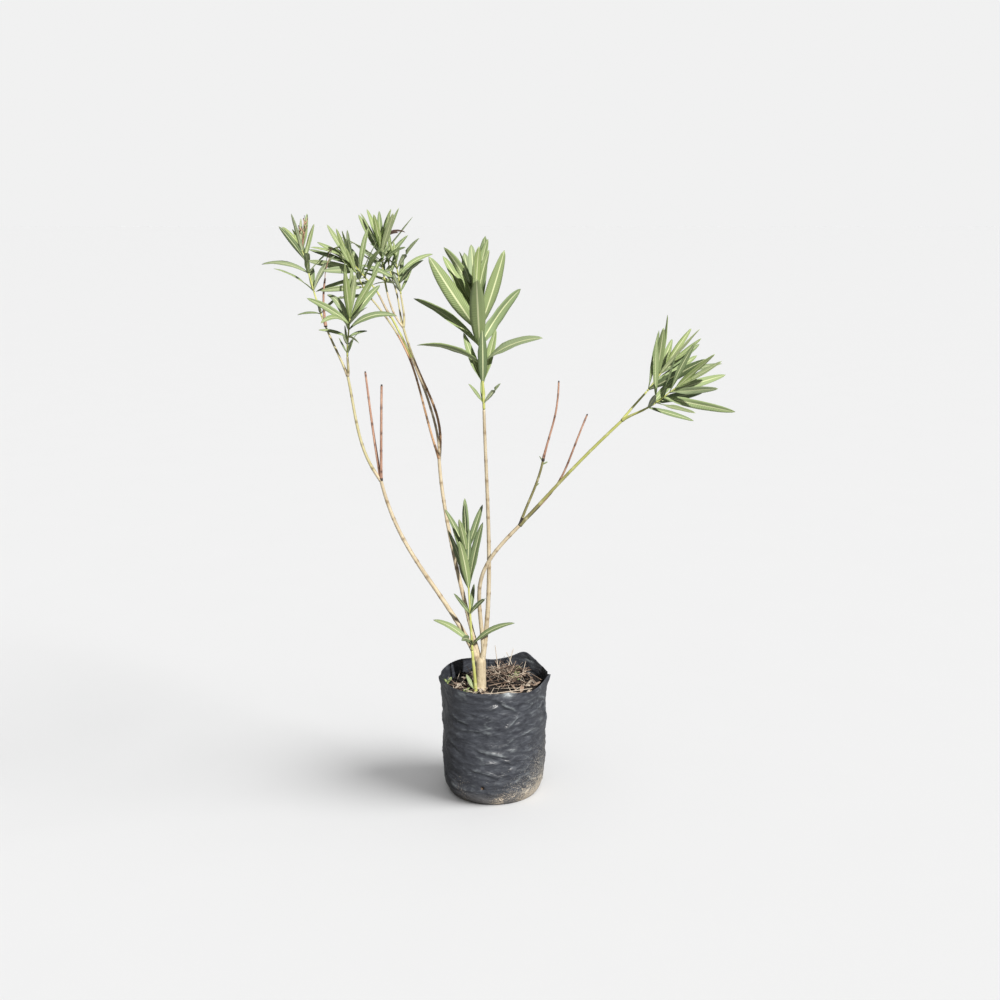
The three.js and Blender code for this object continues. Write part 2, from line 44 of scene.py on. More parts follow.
# Each limb grows from a place on another limb, or from the soil, to a point. leave and arrive are its
# directions at the two ends: the lean from upright and the heading round from +X, in degrees. radii are
# those of its foot and its tip, flare what its foot is wider by, and reach how far its ends stay straight.
limbs = {
    "trunk": dict(
        foot=(-0.019, -0.012), to=(-0.0195, -0.012, 0.219),
        leave=(0, 0), arrive=(2, 180), radii=(0.0076, 0.0078), flare=0.0012),
    "sucker": dict(
        foot=(-0.027, -0.024), to=(-0.032, -0.028, 0.234),
        leave=(0, 0), arrive=(4, 220), radii=(0.0027, 0.0021), flare=0.0006),
    "bough_left": dict(
        on="trunk", at=0.84, to=(-0.171, 0.032, 0.487),
        leave=(26, 155), arrive=(12, 178), radii=(0.0039, 0.0025), reach=0.4, flare=0.0007),
    "bough_middle": dict(
        on="trunk", at=0.88, to=(-0.084, 0.072, 0.513),
        leave=(21, 135), arrive=(4, 123), radii=(0.0034, 0.0025), reach=0.28, flare=0.0005),
    "bough_centre": dict(
        on="trunk", at=0.86, to=(-0.013, -0.056, 0.608),
        leave=(11, 345), arrive=(8, 262), radii=(0.0036, 0.0021), reach=0.3, flare=0.0009),
    "bough_right": dict(
        on="bough_centre", at=0.08, to=(0.041, -0.046, 0.436),
        leave=(6, 220), arrive=(45, 0), radii=(0.0032, 0.0026), reach=0.5),
    "branch_left": dict(
        on="bough_left", at=1, to=(-0.22, 0.054, 0.643),
        leave=(40, 168), arrive=(13, 157), radii=(0.0024, 0.0019)),
    "stub_left_long": dict(
        on="bough_left", at=1, to=(-0.193, 0.054, 0.648),
        leave=(14, 135), arrive=(10, 132), radii=(0.0018, 0.0013)),
    "stub_left_short": dict(
        on="bough_left", at=1, to=(-0.165, 0.012, 0.634),
        leave=(8, 285), arrive=(6, 293), radii=(0.0018, 0.0015)),
    "branch_left_outer": dict(
        on="branch_left", at=1, to=(-0.257, 0.066, 0.728),
        leave=(22, 161), arrive=(20, 160), radii=(0.0017, 0.0015)),
    "branch_left_inner": dict(
        on="branch_left", at=1, to=(-0.218, 0.044, 0.672),
        leave=(17, 316), arrive=(10, 276), radii=(0.0018, 0.0017)),
    "stub_left_outer": dict(
        on="branch_left_outer", at=0.86, to=(-0.25, 0.06, 0.786),
        leave=(6, 200), arrive=(12, 350), radii=(0.0016, 0.0012)),
    "branch_middle_left": dict(
        on="bough_middle", at=1, to=(-0.185, 0.084, 0.755),
        leave=(18, 180), arrive=(40, 180), radii=(0.0018, 0.0014), reach=0.45),
    "branch_middle_high": dict(
        on="bough_middle", at=1, to=(-0.157, 0.104, 0.726),
        leave=(24, 80), arrive=(30, 171), radii=(0.002, 0.0017), reach=0.25),
    "branch_middle_right": dict(
        on="bough_middle", at=1, to=(-0.14, 0.124, 0.709),
        leave=(50, 84), arrive=(15, 165), radii=(0.0021, 0.0018), reach=0.5),
    "branch_middle_outer": dict(
        on="branch_middle_high", at=1, to=(-0.184, 0.104, 0.772),
        leave=(38, 183), arrive=(42, 188), radii=(0.0016, 0.0014)),
    "branch_top": dict(
        on="branch_middle_right", at=1, to=(-0.17, 0.146, 0.785),
        leave=(46, 160), arrive=(14, 139), radii=(0.0015, 0.0014)),
    "branch_back": dict(
        on="branch_middle_right", at=1, to=(-0.156, 0.168, 0.769),
        leave=(45, 114), arrive=(29, 135), radii=(0.0014, 0.0012)),
    "branch_middle_inner": dict(
        on="branch_middle_right", at=1, to=(-0.143, 0.131, 0.757),
        leave=(16, 38), arrive=(6, 169), radii=(0.0016, 0.0014)),
    "branch_right": dict(
        on="bough_right", at=1, to=(0.183, -0.096, 0.6),
        leave=(41, 348), arrive=(45, 345), radii=(0.0025, 0.002), reach=0.4),
    "twig_right": dict(
        on="bough_right", at=1, to=(0.072, -0.064, 0.536),
        leave=(18, 332), arrive=(11, 329), radii=(0.0017, 0.0015)),
    "twig_right_dry": dict(
        on="twig_right", at=1, to=(0.093, -0.076, 0.652),
        leave=(14, 331), arrive=(2, 300), radii=(0.0014, 0.0011), reach=0.45),
    "stub_right": dict(
        on="bough_right", at=1, to=(0.134, -0.078, 0.605),
        leave=(47, 8), arrive=(23, 12), radii=(0.0015, 0.0011), reach=0.5),
    "branch_right_upper": dict(
        on="branch_right", at=1, to=(0.216, -0.094, 0.64),
        leave=(38, 20), arrive=(40, 0), radii=(0.0016, 0.0014)),
    "branch_right_lower": dict(
        on="branch_right", at=1, to=(0.213, -0.116, 0.619),
        leave=(54, 330), arrive=(59, 336), radii=(0.0017, 0.0015)),
}

# Each shoot carries one mass of leaves: whorls up a short stem that leaves the tip of its limb. leaf, spread
# and arch are the length of the leaves, their lean off the stem and their bend, from the lowest whorl to the
# highest. crowd draws the whorls together toward the tip, turn is the first heading, and width is a share of
# a leaf's length.
shoots = {
    "foliage_sucker": dict(
        on="sucker", to=(-0.04, -0.033, 0.401), whorls=6, crowd=1.7, turn=18, seed=368,
        leaf=(0.077, 0.052, 0.099, 0.07, 0.074, 0.069),
        spread=(44, 31, 13, 12, 20, 3), arch=(39, 17, 12, 1, 2, 1),
        width=0.16, radii=(0.002, 0.001)),
    "foliage_left_outer": dict(
        on="branch_left_outer", to=(-0.287, 0.079, 0.831), whorls=6, crowd=1.9, turn=37, seed=640,
        leaf=(0.049, 0.069, 0.089, 0.062, 0.056, 0.041),
        spread=(58, 35, 46, 24, 23, 19), arch=(20, 33, 37, 12, -8, 9),
        width=0.15, radii=(0.0015, 0.0009), stalks=dict(count=4, length=0.044, spread=14)),
    "foliage_left_inner": dict(
        on="branch_left_inner", to=(-0.211, 0.03, 0.735), whorls=7, crowd=1.4, turn=61, seed=320,
        leaf=(0.029, 0.03, 0.042, 0.088, 0.084, 0.078, 0.068),
        spread=(30, 41, 68, 34, 52, 21, 2), arch=(-4, 2, 26, 71, 14, 0, 4),
        width=0.16, radii=(0.0016, 0.0009)),
    "foliage_middle_outer": dict(
        on="branch_middle_outer", to=(-0.217, 0.084, 0.814), whorls=6, crowd=1.3, turn=146, seed=324,
        leaf=(0.051, 0.079, 0.076, 0.058, 0.058),
        spread=(60, 55, 33, 28, 21), arch=(20, 10, 13, 9),
        width=0.155, radii=(0.0014, 0.0009)),
    "foliage_middle_left": dict(
        on="branch_middle_left", to=(-0.205, 0.062, 0.795), whorls=4, crowd=1.2, turn=20, seed=21,
        leaf=(0.055, 0.07, 0.048),
        spread=(55, 57, 15), arch=(16, 1, -3),
        width=0.16, radii=(0.0013, 0.0009)),
    "foliage_top": dict(
        on="branch_top", to=(-0.173, 0.14, 0.823), whorls=6, crowd=1.5, turn=82, seed=435,
        leaf=(0.041, 0.064, 0.078, 0.071, 0.062),
        spread=(58, 41, 47, 32, 9), arch=(5, 22, -6, 8),
        width=0.155, radii=(0.0014, 0.0009)),
    "foliage_middle_inner": dict(
        on="branch_middle_inner", to=(-0.15, 0.126, 0.812), whorls=6, crowd=1.3, turn=24, seed=830,
        leaf=(0.045, 0.072, 0.07, 0.075, 0.066),
        spread=(35, 47, 53, 20, 7), arch=(1, 37, 18, 2),
        width=0.15, radii=(0.0014, 0.0009)),
    "foliage_back": dict(
        on="branch_back", to=(-0.167, 0.175, 0.811), whorls=4, crowd=1.2, turn=6, seed=148,
        leaf=(0.053, 0.067, 0.046),
        spread=(57, 30, 12), arch=(17, -7, -15),
        width=0.155, radii=(0.0012, 0.0008)),
    "foliage_centre": dict(
        on="bough_centre", to=(-0.024, -0.052, 0.763), whorls=8, crowd=1.5, turn=99, seed=153,
        leaf=(0.042, 0.077, 0.115, 0.131, 0.132, 0.113, 0.095, 0.087),
        spread=(34, 16, 52, 39, 32, 18, 14, 8), arch=(1, -4, 37, 22, -6, 3, 20, 11),
        width=0.17, radii=(0.0021, 0.001)),
    "foliage_right_upper": dict(
        on="branch_right_upper", to=(0.241, -0.09, 0.674), whorls=4, crowd=1.1, turn=169, seed=21,
        leaf=(0.093, 0.094, 0.08, 0.062),
        spread=(35, 35, 26, 14), arch=(-4, 6, -1, -7),
        width=0.15, radii=(0.0014, 0.0009)),
    "foliage_right_lower": dict(
        on="branch_right_lower", to=(0.252, -0.129, 0.65), whorls=5, crowd=1.1, turn=353, seed=398,
        leaf=(0.071, 0.1, 0.086, 0.078),
        spread=(46, 54, 46, 11), arch=(4, 2, -4, -5),
        width=0.155, radii=(0.0015, 0.0009)),
}

leafForm = dict(widest=0.95, fullness=0.75, fold=0.2, sag=0.03, clearance=0.0026)
sun = dict(lean=58, heading=285, pull=0.6)       # the light that the blades turn to
whorl = dict(leaves=3, step=60, first=0.04, last=0.98, sink=0.15)
uneven = dict(length=0.12, spread=6, heading=11, arch=8, twist=16)
nudges = (0, 16, -16, 32, -32)
# where a leaf's room is measured: shares of its length from the foot, and of its half width
probe = dict(fromOthers=0.1, fromOwn=0.3, end=0.99, step=0.1, across=0.8)
soilSeat = 0.158                                 # level where the stems stand in the soil
gap = 0.0003
roomStep = 0.006


def direction(lean, heading):
    out = math.sin(math.radians(lean))
    around = math.radians(heading)
    return Vector((out * math.cos(around), out * math.sin(around), math.cos(math.radians(lean))))


def lerp(a, b, t):
    return a + (b - a) * t


def smooth(low, high, value):
    t = min(1, max(0, (value - low) / (high - low)))
    return t * t * (3 - 2 * t)


def seeded(seed):
    # Park and Miller's generator: numbers between -1 and 1, the same ones for the same seed
    modulus = 2147483647
    state = seed * 104729

    def draw():
        nonlocal state
        state = state * 16807 % modulus
        return 2 * state / modulus - 1

    return draw


def along(values, t):
    place = t * (len(values) - 1)
    before = min(int(place), len(values) - 2)
    return lerp(values[before], values[before + 1], place - before)


# A curve is the four corner points of a Bezier.
def bentCurve(start, end, leave, arrive, reach=0.35):
    handle = (end - start).length * reach
    return (start, start + leave * handle, end - arrive * handle, end)


def curvePoint(curve, t):
    a, b, c, d = curve
    s = 1 - t
    return a * s ** 3 + b * (3 * s * s * t) + c * (3 * s * t * t) + d * t ** 3


def curveTangent(curve, t):
    a, b, c, d = curve
    s = 1 - t
    return ((b - a) * (s * s) + (c - b) * (2 * s * t) + (d - c) * (t * t)).normalized()


def curveSpans(curve, count=200):
    # the distance along the curve at even steps of t
    spans = [0.0]
    before = curvePoint(curve, 0)
    for i in range(1, count + 1):
        point = curvePoint(curve, i / count)
        spans.append(spans[-1] + (point - before).length)
        before = point
    return spans


def shareAt(spans, distance):
    # the value of t at a distance along the curve
    low, high = 0, len(spans) - 1
    while high - low > 1:
        middle = (low + high) // 2
        if spans[middle] <= distance:
            low = middle
        else:
            high = middle
    part = (distance - spans[low]) / (spans[high] - spans[low])
    return (low + part) / (len(spans) - 1)


def limbRadius(limb, t):
    foot, tip = limb["radii"]
    return lerp(foot, tip, t) + limb.get("flare", 0) * math.exp(-9 * t)


curves = {}
for name, limb in limbs.items():
    if "on" in limb:
        carrier = curves[limb["on"]]
        sink = limbRadius(limbs[limb["on"]], limb["at"])
        start = curvePoint(carrier, limb["at"]) - curveTangent(carrier, limb["at"]) * sink
    else:
        start = Vector((*limb["foot"], soilSeat + gap))
    ways = direction(*limb["leave"]), direction(*limb["arrive"])
    curves[name] = bentCurve(start, Vector(limb["to"]), *ways, limb.get("reach", 0.35))

for name, shoot in shoots.items():
    way = curveTangent(curves[shoot["on"]], 1)
    start = curvePoint(curves[shoot["on"]], 1) + way * gap
    tip = Vector(shoot["to"])
    curves[name] = bentCurve(start, tip, way, (tip - start).normalized())


def shootRadius(shoot, t):
    return lerp(*shoot["radii"], t)


def leafAt(root, stem, heading, spread, arch, length, width, twist=0.0, sink=0.0):
    # a leaf off a stem's direction, from a point sunk that far into the stem; its angles are in degrees
    out = direction(90, heading)
    out.rotate(upright.rotation_difference(stem))
    return dict(
        root=root - out * sink, stem=stem, out=out, spread=math.radians(spread), arch=math.radians(arch),
        length=length, twist=math.radians(twist), halfWidth=length * width / 2)


def leafSection(leaf, share):
    # the middle point, upper side, sideways direction and half width at a share of the leaf's length
    root, stem, out = leaf["root"], leaf["stem"], leaf["out"]
    spread, length = leaf["spread"], leaf["length"]
    bend = leaf["arch"] if abs(leaf["arch"]) > 1e-3 else 1e-3
    angle = spread + bend * share
    rise = length * (math.sin(angle) - math.sin(spread)) / bend
    reach = length * (math.cos(spread) - math.cos(angle)) / bend
    point = root + stem * rise + out * reach
    point.z -= leafForm["sag"] * length * share * share
    tangent = stem * math.cos(angle) + out * math.sin(angle)
    face = stem * math.sin(angle) - out * math.cos(angle)
    side = face.cross(tangent)
    light = direction(sun["lean"], sun["heading"])
    onFace = light.dot(face)
    turn = math.atan(light.dot(side) / max(0.05, abs(onFace))) * math.copysign(1, onFace)
    roll = (leaf["twist"] - sun["pull"] * turn) * min(1, 2.5 * share)
    swing = Quaternion(tangent, roll)
    face.rotate(swing)
    side.rotate(swing)
    profile = max(0, math.sin(math.pi * share ** leafForm["widest"]))
    return point, face, side, leaf["halfWidth"] * profile ** leafForm["fullness"]


def leafRoom(leaf, share):
    # the points that a leaf takes up, each with the room it needs round it
    points = []
    while share < probe["end"]:
        point, _, side, width = leafSection(leaf, share)
        for across in (-probe["across"], 0, probe["across"]):
            points.append((point + side * (across * width), leafForm["clearance"]))
        share += probe["step"]
    return points


def curveRoom(curve, radiusAt):
    count = math.ceil(curveSpans(curve)[-1] / roomStep)
    return [(curvePoint(curve, i / count), radiusAt(i / count)) for i in range(count + 1)]


def roomTree(points):
    tree = kdtree.KDTree(len(points))
    for i, (at, _) in enumerate(points):
        tree.insert(at, i)
    tree.balance()
    return tree, [room for _, room in points]


def apart(points, others):
    tree, rooms = others
    widest = max(rooms)
    for at, room in points:
        for _, i, distance in tree.find_range(at, room + widest):
            if distance <= room + rooms[i]:
                return False
    return True


def growLeaves(shoot, curve, ownRoom, otherRoom):
    # whorl by whorl from the lowest; a leaf that finds no clear heading is skipped
    draw = seeded(shoot["seed"])
    leaves = []
    for node in range(shoot["whorls"]):
        rise = node / (shoot["whorls"] - 1)
        t = whorl["first"] + (whorl["last"] - whorl["first"]) * (1 - (1 - rise) ** shoot["crowd"])
        point, stem = curvePoint(curve, t), curveTangent(curve, t)
        sink = whorl["sink"] * shootRadius(shoot, t)
        for k in range(whorl["leaves"]):
            length = along(shoot["leaf"], rise) * (1 + uneven["length"] * draw())
            spread = along(shoot["spread"], rise) + uneven["spread"] * draw()
            arch = along(shoot["arch"], rise) + uneven["arch"] * draw()
            heading = shoot["turn"] + whorl["step"] * node + 360 / whorl["leaves"] * k
            heading += uneven["heading"] * draw()
            twist = uneven["twist"] * draw()
            for nudge in nudges:
                leaf = leafAt(point, stem, heading + nudge, spread, arch, length, shoot["width"], twist, sink)
                clearOfOthers = apart(leafRoom(leaf, probe["fromOthers"]), otherRoom)
                if clearOfOthers and apart(leafRoom(leaf, probe["fromOwn"]), ownRoom):
                    leaf["rise"] = rise
                    leaves.append(leaf)
                    break
    return leaves


rooms = {}
for name, limb in limbs.items():
    rooms[name] = curveRoom(curves[name], lambda t: limbRadius(limb, t))
for name, shoot in shoots.items():
    rooms[name] = curveRoom(curves[name], lambda t: shootRadius(shoot, t))

shootLeaves = {}
for name, shoot in shoots.items():
    others = [point for other in rooms if other not in (name, shoot["on"]) for point in rooms[other]]
    shootLeaves[name] = growLeaves(shoot, curves[name], roomTree(rooms[shoot["on"]]), roomTree(others))
    for leaf in shootLeaves[name]:
        rooms[name] += leafRoom(leaf, probe["fromOthers"])
leafCount = sum(len(leaves) for leaves in shootLeaves.values())
print(f"rule: {len(limbs)} limbs, {len(shoots)} shoots, {leafCount} leaves")


def colour(red, green, blue):
    # a colour as a colour picker gives it, 0 to 255, to Blender's linear values
    return tuple(((c / 255 + 0.055) / 1.055) ** 2.4 if c > 10 else c / 3294.6 for c in (red, green, blue))


def newMaterial(name, **values):
    material = bpy.data.materials.new(name)
    material.use_nodes = True
    shader = material.node_tree.nodes["Principled BSDF"]
    for socket, value in values.items():
        shader.inputs[socket.replace("_", " ")].default_value = value
    return material, material.node_tree, shader


def newGroup(name, taken, given):
    # taken and given hold a name and a kind for each socket
    group = bpy.data.node_groups.new(name, "ShaderNodeTree")
    for sockets, way in ((taken, "INPUT"), (given, "OUTPUT")):
        for label, kind in sockets.items():
            group.interface.new_socket(label, in_out=way, socket_type="NodeSocket" + kind)
    return group, group.nodes.new("NodeGroupInput").outputs, group.nodes.new("NodeGroupOutput").inputs


def addNode(tree, kind, **settings):
    # the nodes lie in rows, in the order they are made
    node = tree.nodes.new("ShaderNode" + kind)
    count = len(tree.nodes)
    node.location = (220 * (count % 8), -320 * (count // 8))
    for key, value in settings.items():
        setattr(node, key, value)
    return node


def feed(tree, socket, value):
    # what goes into a socket is another socket, a number or a colour
    if isinstance(value, bpy.types.NodeSocket):
        tree.links.new(value, socket)
    else:
        socket.default_value = (*value, 1) if isinstance(value, tuple) else value


def addMath(tree, operation, *values):
    node = addNode(tree, "Math", operation=operation)
    for socket, value in zip(node.inputs, values):
        feed(tree, socket, value)
    return node.outputs["Value"]


def addRamp(tree, factor, *stops):
    # each stop is a place and a colour or a grey
    node = addNode(tree, "ValToRGB")
    ramp = node.color_ramp
    while len(ramp.elements) < len(stops):
        ramp.elements.new(0.5)
    for element, (at, tint) in zip(ramp.elements, stops):
        element.position = at
        element.color = (*tint, 1) if isinstance(tint, tuple) else (tint, tint, tint, 1)
    feed(tree, node.inputs["Fac"], factor)
    return node.outputs["Color"]


def addMix(tree, factor, a, b):
    node = addNode(tree, "Mix", data_type="RGBA")
    for i, value in ((0, factor), (6, a), (7, b)):
        feed(tree, node.inputs[i], value)
    return node.outputs[2]


def addNoise(tree, vector, scale, detail, roughness, distortion=0.0):
    node = addNode(tree, "TexNoise")
    values = dict(Vector=vector, Scale=scale, Detail=detail, Roughness=roughness, Distortion=distortion)
    for label, value in values.items():
        feed(tree, node.inputs[label], value)
    return node.outputs["Fac"]


def addMapping(tree, vector, scale):
    node = addNode(tree, "Mapping")
    node.inputs["Scale"].default_value = scale
    feed(tree, node.inputs["Vector"], vector)
    return node.outputs["Vector"]


def addBump(tree, shader, height, strength, distance):
    node = addNode(tree, "Bump")
    for label, value in dict(Strength=strength, Distance=distance, Height=height).items():
        feed(tree, node.inputs[label], value)
    feed(tree, shader.inputs["Normal"], node.outputs["Normal"])


def addSplit(tree, vector):
    node = addNode(tree, "SeparateXYZ")
    feed(tree, node.inputs[0], vector)
    return node.outputs


def objectPlace(tree):
    return addNode(tree, "TexCoord").outputs["Object"]


def newObject(name, bm, materials):
    mesh = bpy.data.meshes.new(name)
    for material in materials:
        mesh.materials.append(material)
    bm.to_mesh(mesh)
    bm.free()
    made = bpy.data.objects.new(name, mesh)
    bpy.context.scene.collection.objects.link(made)
    return made


def newPiece(name, bm, materials, nodes=()):
    for face in bm.faces:
        face.smooth = True
    piece = newObject(name, bm, materials)
    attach(piece, "root")
    if nodes:
        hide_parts(*nodes)
    return piece


def addShell(piece, thickness, offset, materialOffset=0):
    shell = piece.modifiers.new("thickness", "SOLIDIFY")
    shell.thickness = thickness
    shell.offset = offset
    shell.material_offset = materialOffset


def paint(verts, index):
    for face in {f for v in verts for f in v.link_faces}:
        face.material_index = index


# The bark's streaks, flecks and leaf scars, on the unbent stem: its attribute is the place round and along.
def makeBarkGroup():
    inputs = dict(Light="Color", Dark="Color", Fleck="Color", Scar="Color", Flecks="Float")
    group, taken, given = newGroup("barkGrain", inputs, dict(Colour="Color", Height="Float"))
    place = addNode(group, "Attribute", attribute_name="unbent").outputs["Vector"]
    scar = addNode(group, "Attribute", attribute_name="scar").outputs["Fac"]
    streaks = addNoise(group, addMapping(group, place, (1, 1, 0.08)), 900, 4, 0.6)
    patches = addNoise(group, addMapping(group, place, (1, 1, 0.5)), 60, 3, 0.5)
    flecks = addNoise(group, addMapping(group, place, (1, 1, 0.45)), 1100, 2, 0.6)
    blend = addMath(group, "MULTIPLY_ADD", streaks, 0.6, -0.05)
    feed(group, given["Height"], addMath(group, "MULTIPLY_ADD", patches, 0.55, blend))
    tone = addRamp(group, addMath(group, "MULTIPLY_ADD", patches, 0.45, blend), (0.32, 0.0), (0.68, 1.0))
    base = addMix(group, tone, taken["Dark"], taken["Light"])
    spots = addMath(group, "MULTIPLY", addRamp(group, flecks, (0.60, 0.0), (0.68, 1.0)), taken["Flecks"])
    flecked = addMix(group, spots, base, taken["Fleck"])
    feed(group, given["Colour"], addMix(group, scar, flecked, taken["Scar"]))
    return group


barkGrain = makeBarkGroup()
barkLooks = {
    "barkTan": dict(
        light=(230, 217, 188), dark=(170, 151, 120), fleck=(104, 88, 68), scar=(140, 118, 90),
        flecks=0.55, roughness=0.75, relief=0.6),
    "barkWarm": dict(
        light=(220, 184, 146), dark=(176, 134, 98), fleck=(70, 50, 42), scar=(78, 58, 48),
        flecks=0.8, roughness=0.7, relief=0.5),
    "barkOlive": dict(
        light=(158, 156, 106), dark=(112, 104, 68), fleck=(116, 92, 66), scar=(204, 196, 156),
        flecks=0.4, roughness=0.6, relief=0.4),
    "barkTurning": dict(
        light=(190, 188, 122), dark=(148, 144, 86), fleck=(136, 122, 80), scar=(208, 204, 158),
        flecks=0.3, roughness=0.55, relief=0.3),
    "barkYoung": dict(
        light=(214, 207, 164), dark=(176, 166, 120), fleck=(150, 122, 92), scar=(112, 92, 70),
        flecks=0.5, roughness=0.6, relief=0.4),
    "barkGreen": dict(
        light=(212, 214, 132), dark=(176, 180, 98), fleck=(170, 172, 104), scar=(214, 216, 160),
        flecks=0.15, roughness=0.5, relief=0.2),
    "barkDry": dict(
        light=(222, 180, 154), dark=(146, 102, 84), fleck=(76, 56, 50), scar=(56, 44, 42),
        flecks=0.85, roughness=0.85, relief=0.8),
    "woodCut": dict(
        light=(86, 78, 72), dark=(52, 46, 44), fleck=(40, 34, 32), scar=(48, 42, 40),
        flecks=0.5, roughness=0.9, relief=0.5),
}
barks = {}
for name, look in barkLooks.items():
    barks[name], tree, shader = newMaterial(name, Roughness=look["roughness"])
    grain = addNode(tree, "Group", node_tree=barkGrain)
    for label in ("Light", "Dark", "Fleck", "Scar"):
        feed(tree, grain.inputs[label], colour(*look[label.lower()]))
    feed(tree, grain.inputs["Flecks"], look["flecks"])
    feed(tree, shader.inputs["Base Color"], grain.outputs["Colour"])
    addBump(tree, shader, grain.outputs["Height"], look["relief"], 0.0006)
print("bark materials ready")

stemForm = dict(
    sides=(12, 16, 28),     # round the thin limbs, the stout ones and the trunk
    stoutFrom=0.003,        # the radius of a foot from which a limb counts as stout
    step=0.0022,            # length between the rings of a stem
    nodes=0.035,            # length between leaf scars
    swell=0.13,             # how far a scar stands out, as a share of the radius
    ring=0.0021,            # half the length of a scar
    bare=0.004,             # the end of a stem that has no scar
    lumps=0.05,             # unevenness of the bark, as a share of the radius
    grain=160,              # how often it changes along a stem
    collar=0.0009,          # how far a limb's foot widens where it leaves its carrier
    trunkCollar=2.4,        # and how many times that on the trunk
    spread=0.010,           # over what length it does
    tip=0.72,               # a cut tip is narrower by this factor
    dryBark=1.15,           # the bark of the dead twigs and of the dying one stands off their wood
    dome=0.011,             # length over which the trunk's top rounds off under its boughs
)
# The barks of a limb from its foot to its tip, with the shares of its length where they change. The first
# name here that a limb's own name starts with is the one that counts.
barkBands = {
    "sucker": ("barkGreen",),
    "twig_right_dry": ("woodCut", 0.03, "barkDry", 0.985, "woodCut"),
    # twig_right and stub_right stay dark grey from their foot up to 0.12 and 0.2 of their length
    "twig_right": ("woodCut", 0.12, "barkOlive", 0.97, "woodCut"),
    "stub_right": ("woodCut", 0.2, "barkDry", 0.985, "woodCut"),
    "stub": ("woodCut", 0.03, "barkDry", 0.985, "woodCut"),
    "branch_right_": ("barkGreen",),
    "branch_right": ("barkOlive", 0.2, "barkTurning", 0.5, "barkGreen"),
    "branch_left": ("barkTan", 0.1, "barkYoung"),
    "branch_middle_right": ("barkWarm", 0.75, "barkYoung"),
    "branch_middle_left": ("barkWarm", 0.75, "barkYoung"),
    "branch_middle_inner": ("barkYoung",),
    "branch_middle": ("barkTan", 0.7, "barkGreen"),
    "branch_top": ("barkTan", 0.7, "barkGreen"),
    "branch": ("barkYoung",),
    "": ("barkTan",),
}


def barkAt(bands, share):
    bark = bands[0]
    for change, after in zip(bands[1::2], bands[2::2]):
        if share > change:
            bark = after
    return bark


def addRod(bm, sides, steps):
    # a cylinder from z -0.5 to 0.5, cut into rings; its vertices
    before = len(bm.verts)
    ends = bmesh.ops.create_cone(bm, cap_ends=True, segments=sides, radius1=1, radius2=1, depth=1)["verts"]
    rods = {e for v in ends for e in v.link_edges if abs(e.verts[0].co.z - e.verts[1].co.z) > 0.5}
    bmesh.ops.subdivide_edges(bm, edges=list(rods), cuts=steps - 1, use_grid_fill=True)
    bm.verts.ensure_lookup_table()
    return bm.verts[before:]


def carriedFrames(curve, spans, steps):
    # a point, and a frame carried along the curve without twist, for each ring
    frames = []
    tangent = curveTangent(curve, 0)
    across = tangent.orthogonal().normalized()
    for ring in range(steps + 1):
        t = shareAt(spans, spans[-1] * ring / steps) if ring else 0
        turned = curveTangent(curve, t)
        across.rotate(tangent.rotation_difference(turned))
        tangent = turned
        frames.append((curvePoint(curve, t), across.copy(), tangent.cross(across)))
    return frames


def addStem(bm, curve, radiusAt, sides, seed, materials, bands, collar=0.0, dome=0.0):
    # One tapering stem with leaf scars: a cylinder cut into rings, then bent along the curve. bands are its
    # barks from foot to tip, out of the piece's materials.
    spans = curveSpans(curve)
    length = spans[-1]
    steps = max(4, round(length / stemForm["step"]))
    verts = addRod(bm, sides, steps)
    unbent = bm.verts.layers.float_vector["unbent"]
    scarLayer = bm.verts.layers.float["scar"]
    draw = seeded(seed)
    scars = []
    scarAt = stemForm["nodes"] * (0.5 + 0.3 * draw())
    while scarAt < length - stemForm["bare"] and not dome:
        scars.append(scarAt)
        scarAt += stemForm["nodes"] * (1 + 0.25 * draw())
    frames = carriedFrames(curve, spans, steps)
    shift = seed * 0.173                # sets each stem in its own part of the grain
    for vert in verts:
        ring = round((vert.co.z + 0.5) * steps)
        share = ring / steps
        distance = length * share
        angle = math.atan2(vert.co.y, vert.co.x)
        off, number = min((abs(distance - at), i) for i, at in enumerate(scars)) if scars else (1, 0)
        scar = math.exp(-(off / stemForm["ring"]) ** 2)
        threes = 0.6 + 0.4 * math.cos(3 * angle + math.pi * (number % 2))
        radius = radiusAt(share)
        grain = distance * stemForm["grain"] + shift * 50
        spot = Vector((math.cos(angle) * 1.3, math.sin(angle) * 1.3, grain))
        lumps = stemForm["lumps"] * noise.noise(spot)
        grown = radius * (1 + stemForm["swell"] * scar * threes + lumps)
        grown += collar * math.exp(-distance / stemForm["spread"])
        if dome:
            into = max(0, 1 - (length - distance) / dome)
            grown *= math.sqrt(max(0.04, 1 - into * into))
        elif ring == steps:
            grown *= stemForm["tip"]
        centre, side, up = frames[ring]
        vert[unbent] = Vector((math.cos(angle) * radius, math.sin(angle) * radius, distance + shift))
        vert[scarLayer] = min(1, 1.1 * scar) * threes
        vert.co = centre + side * (math.cos(angle) * grown) + up * (math.sin(angle) * grown)
    for face in {f for v in verts for f in v.link_faces}:
        middle = sum(v[unbent].z for v in face.verts) / len(face.verts) - shift
        face.material_index = materials.index(barkAt(bands, middle / length))


def stemMesh():
    bm = bmesh.new()
    bm.verts.layers.float_vector.new("unbent")
    bm.verts.layers.float.new("scar")
    return bm


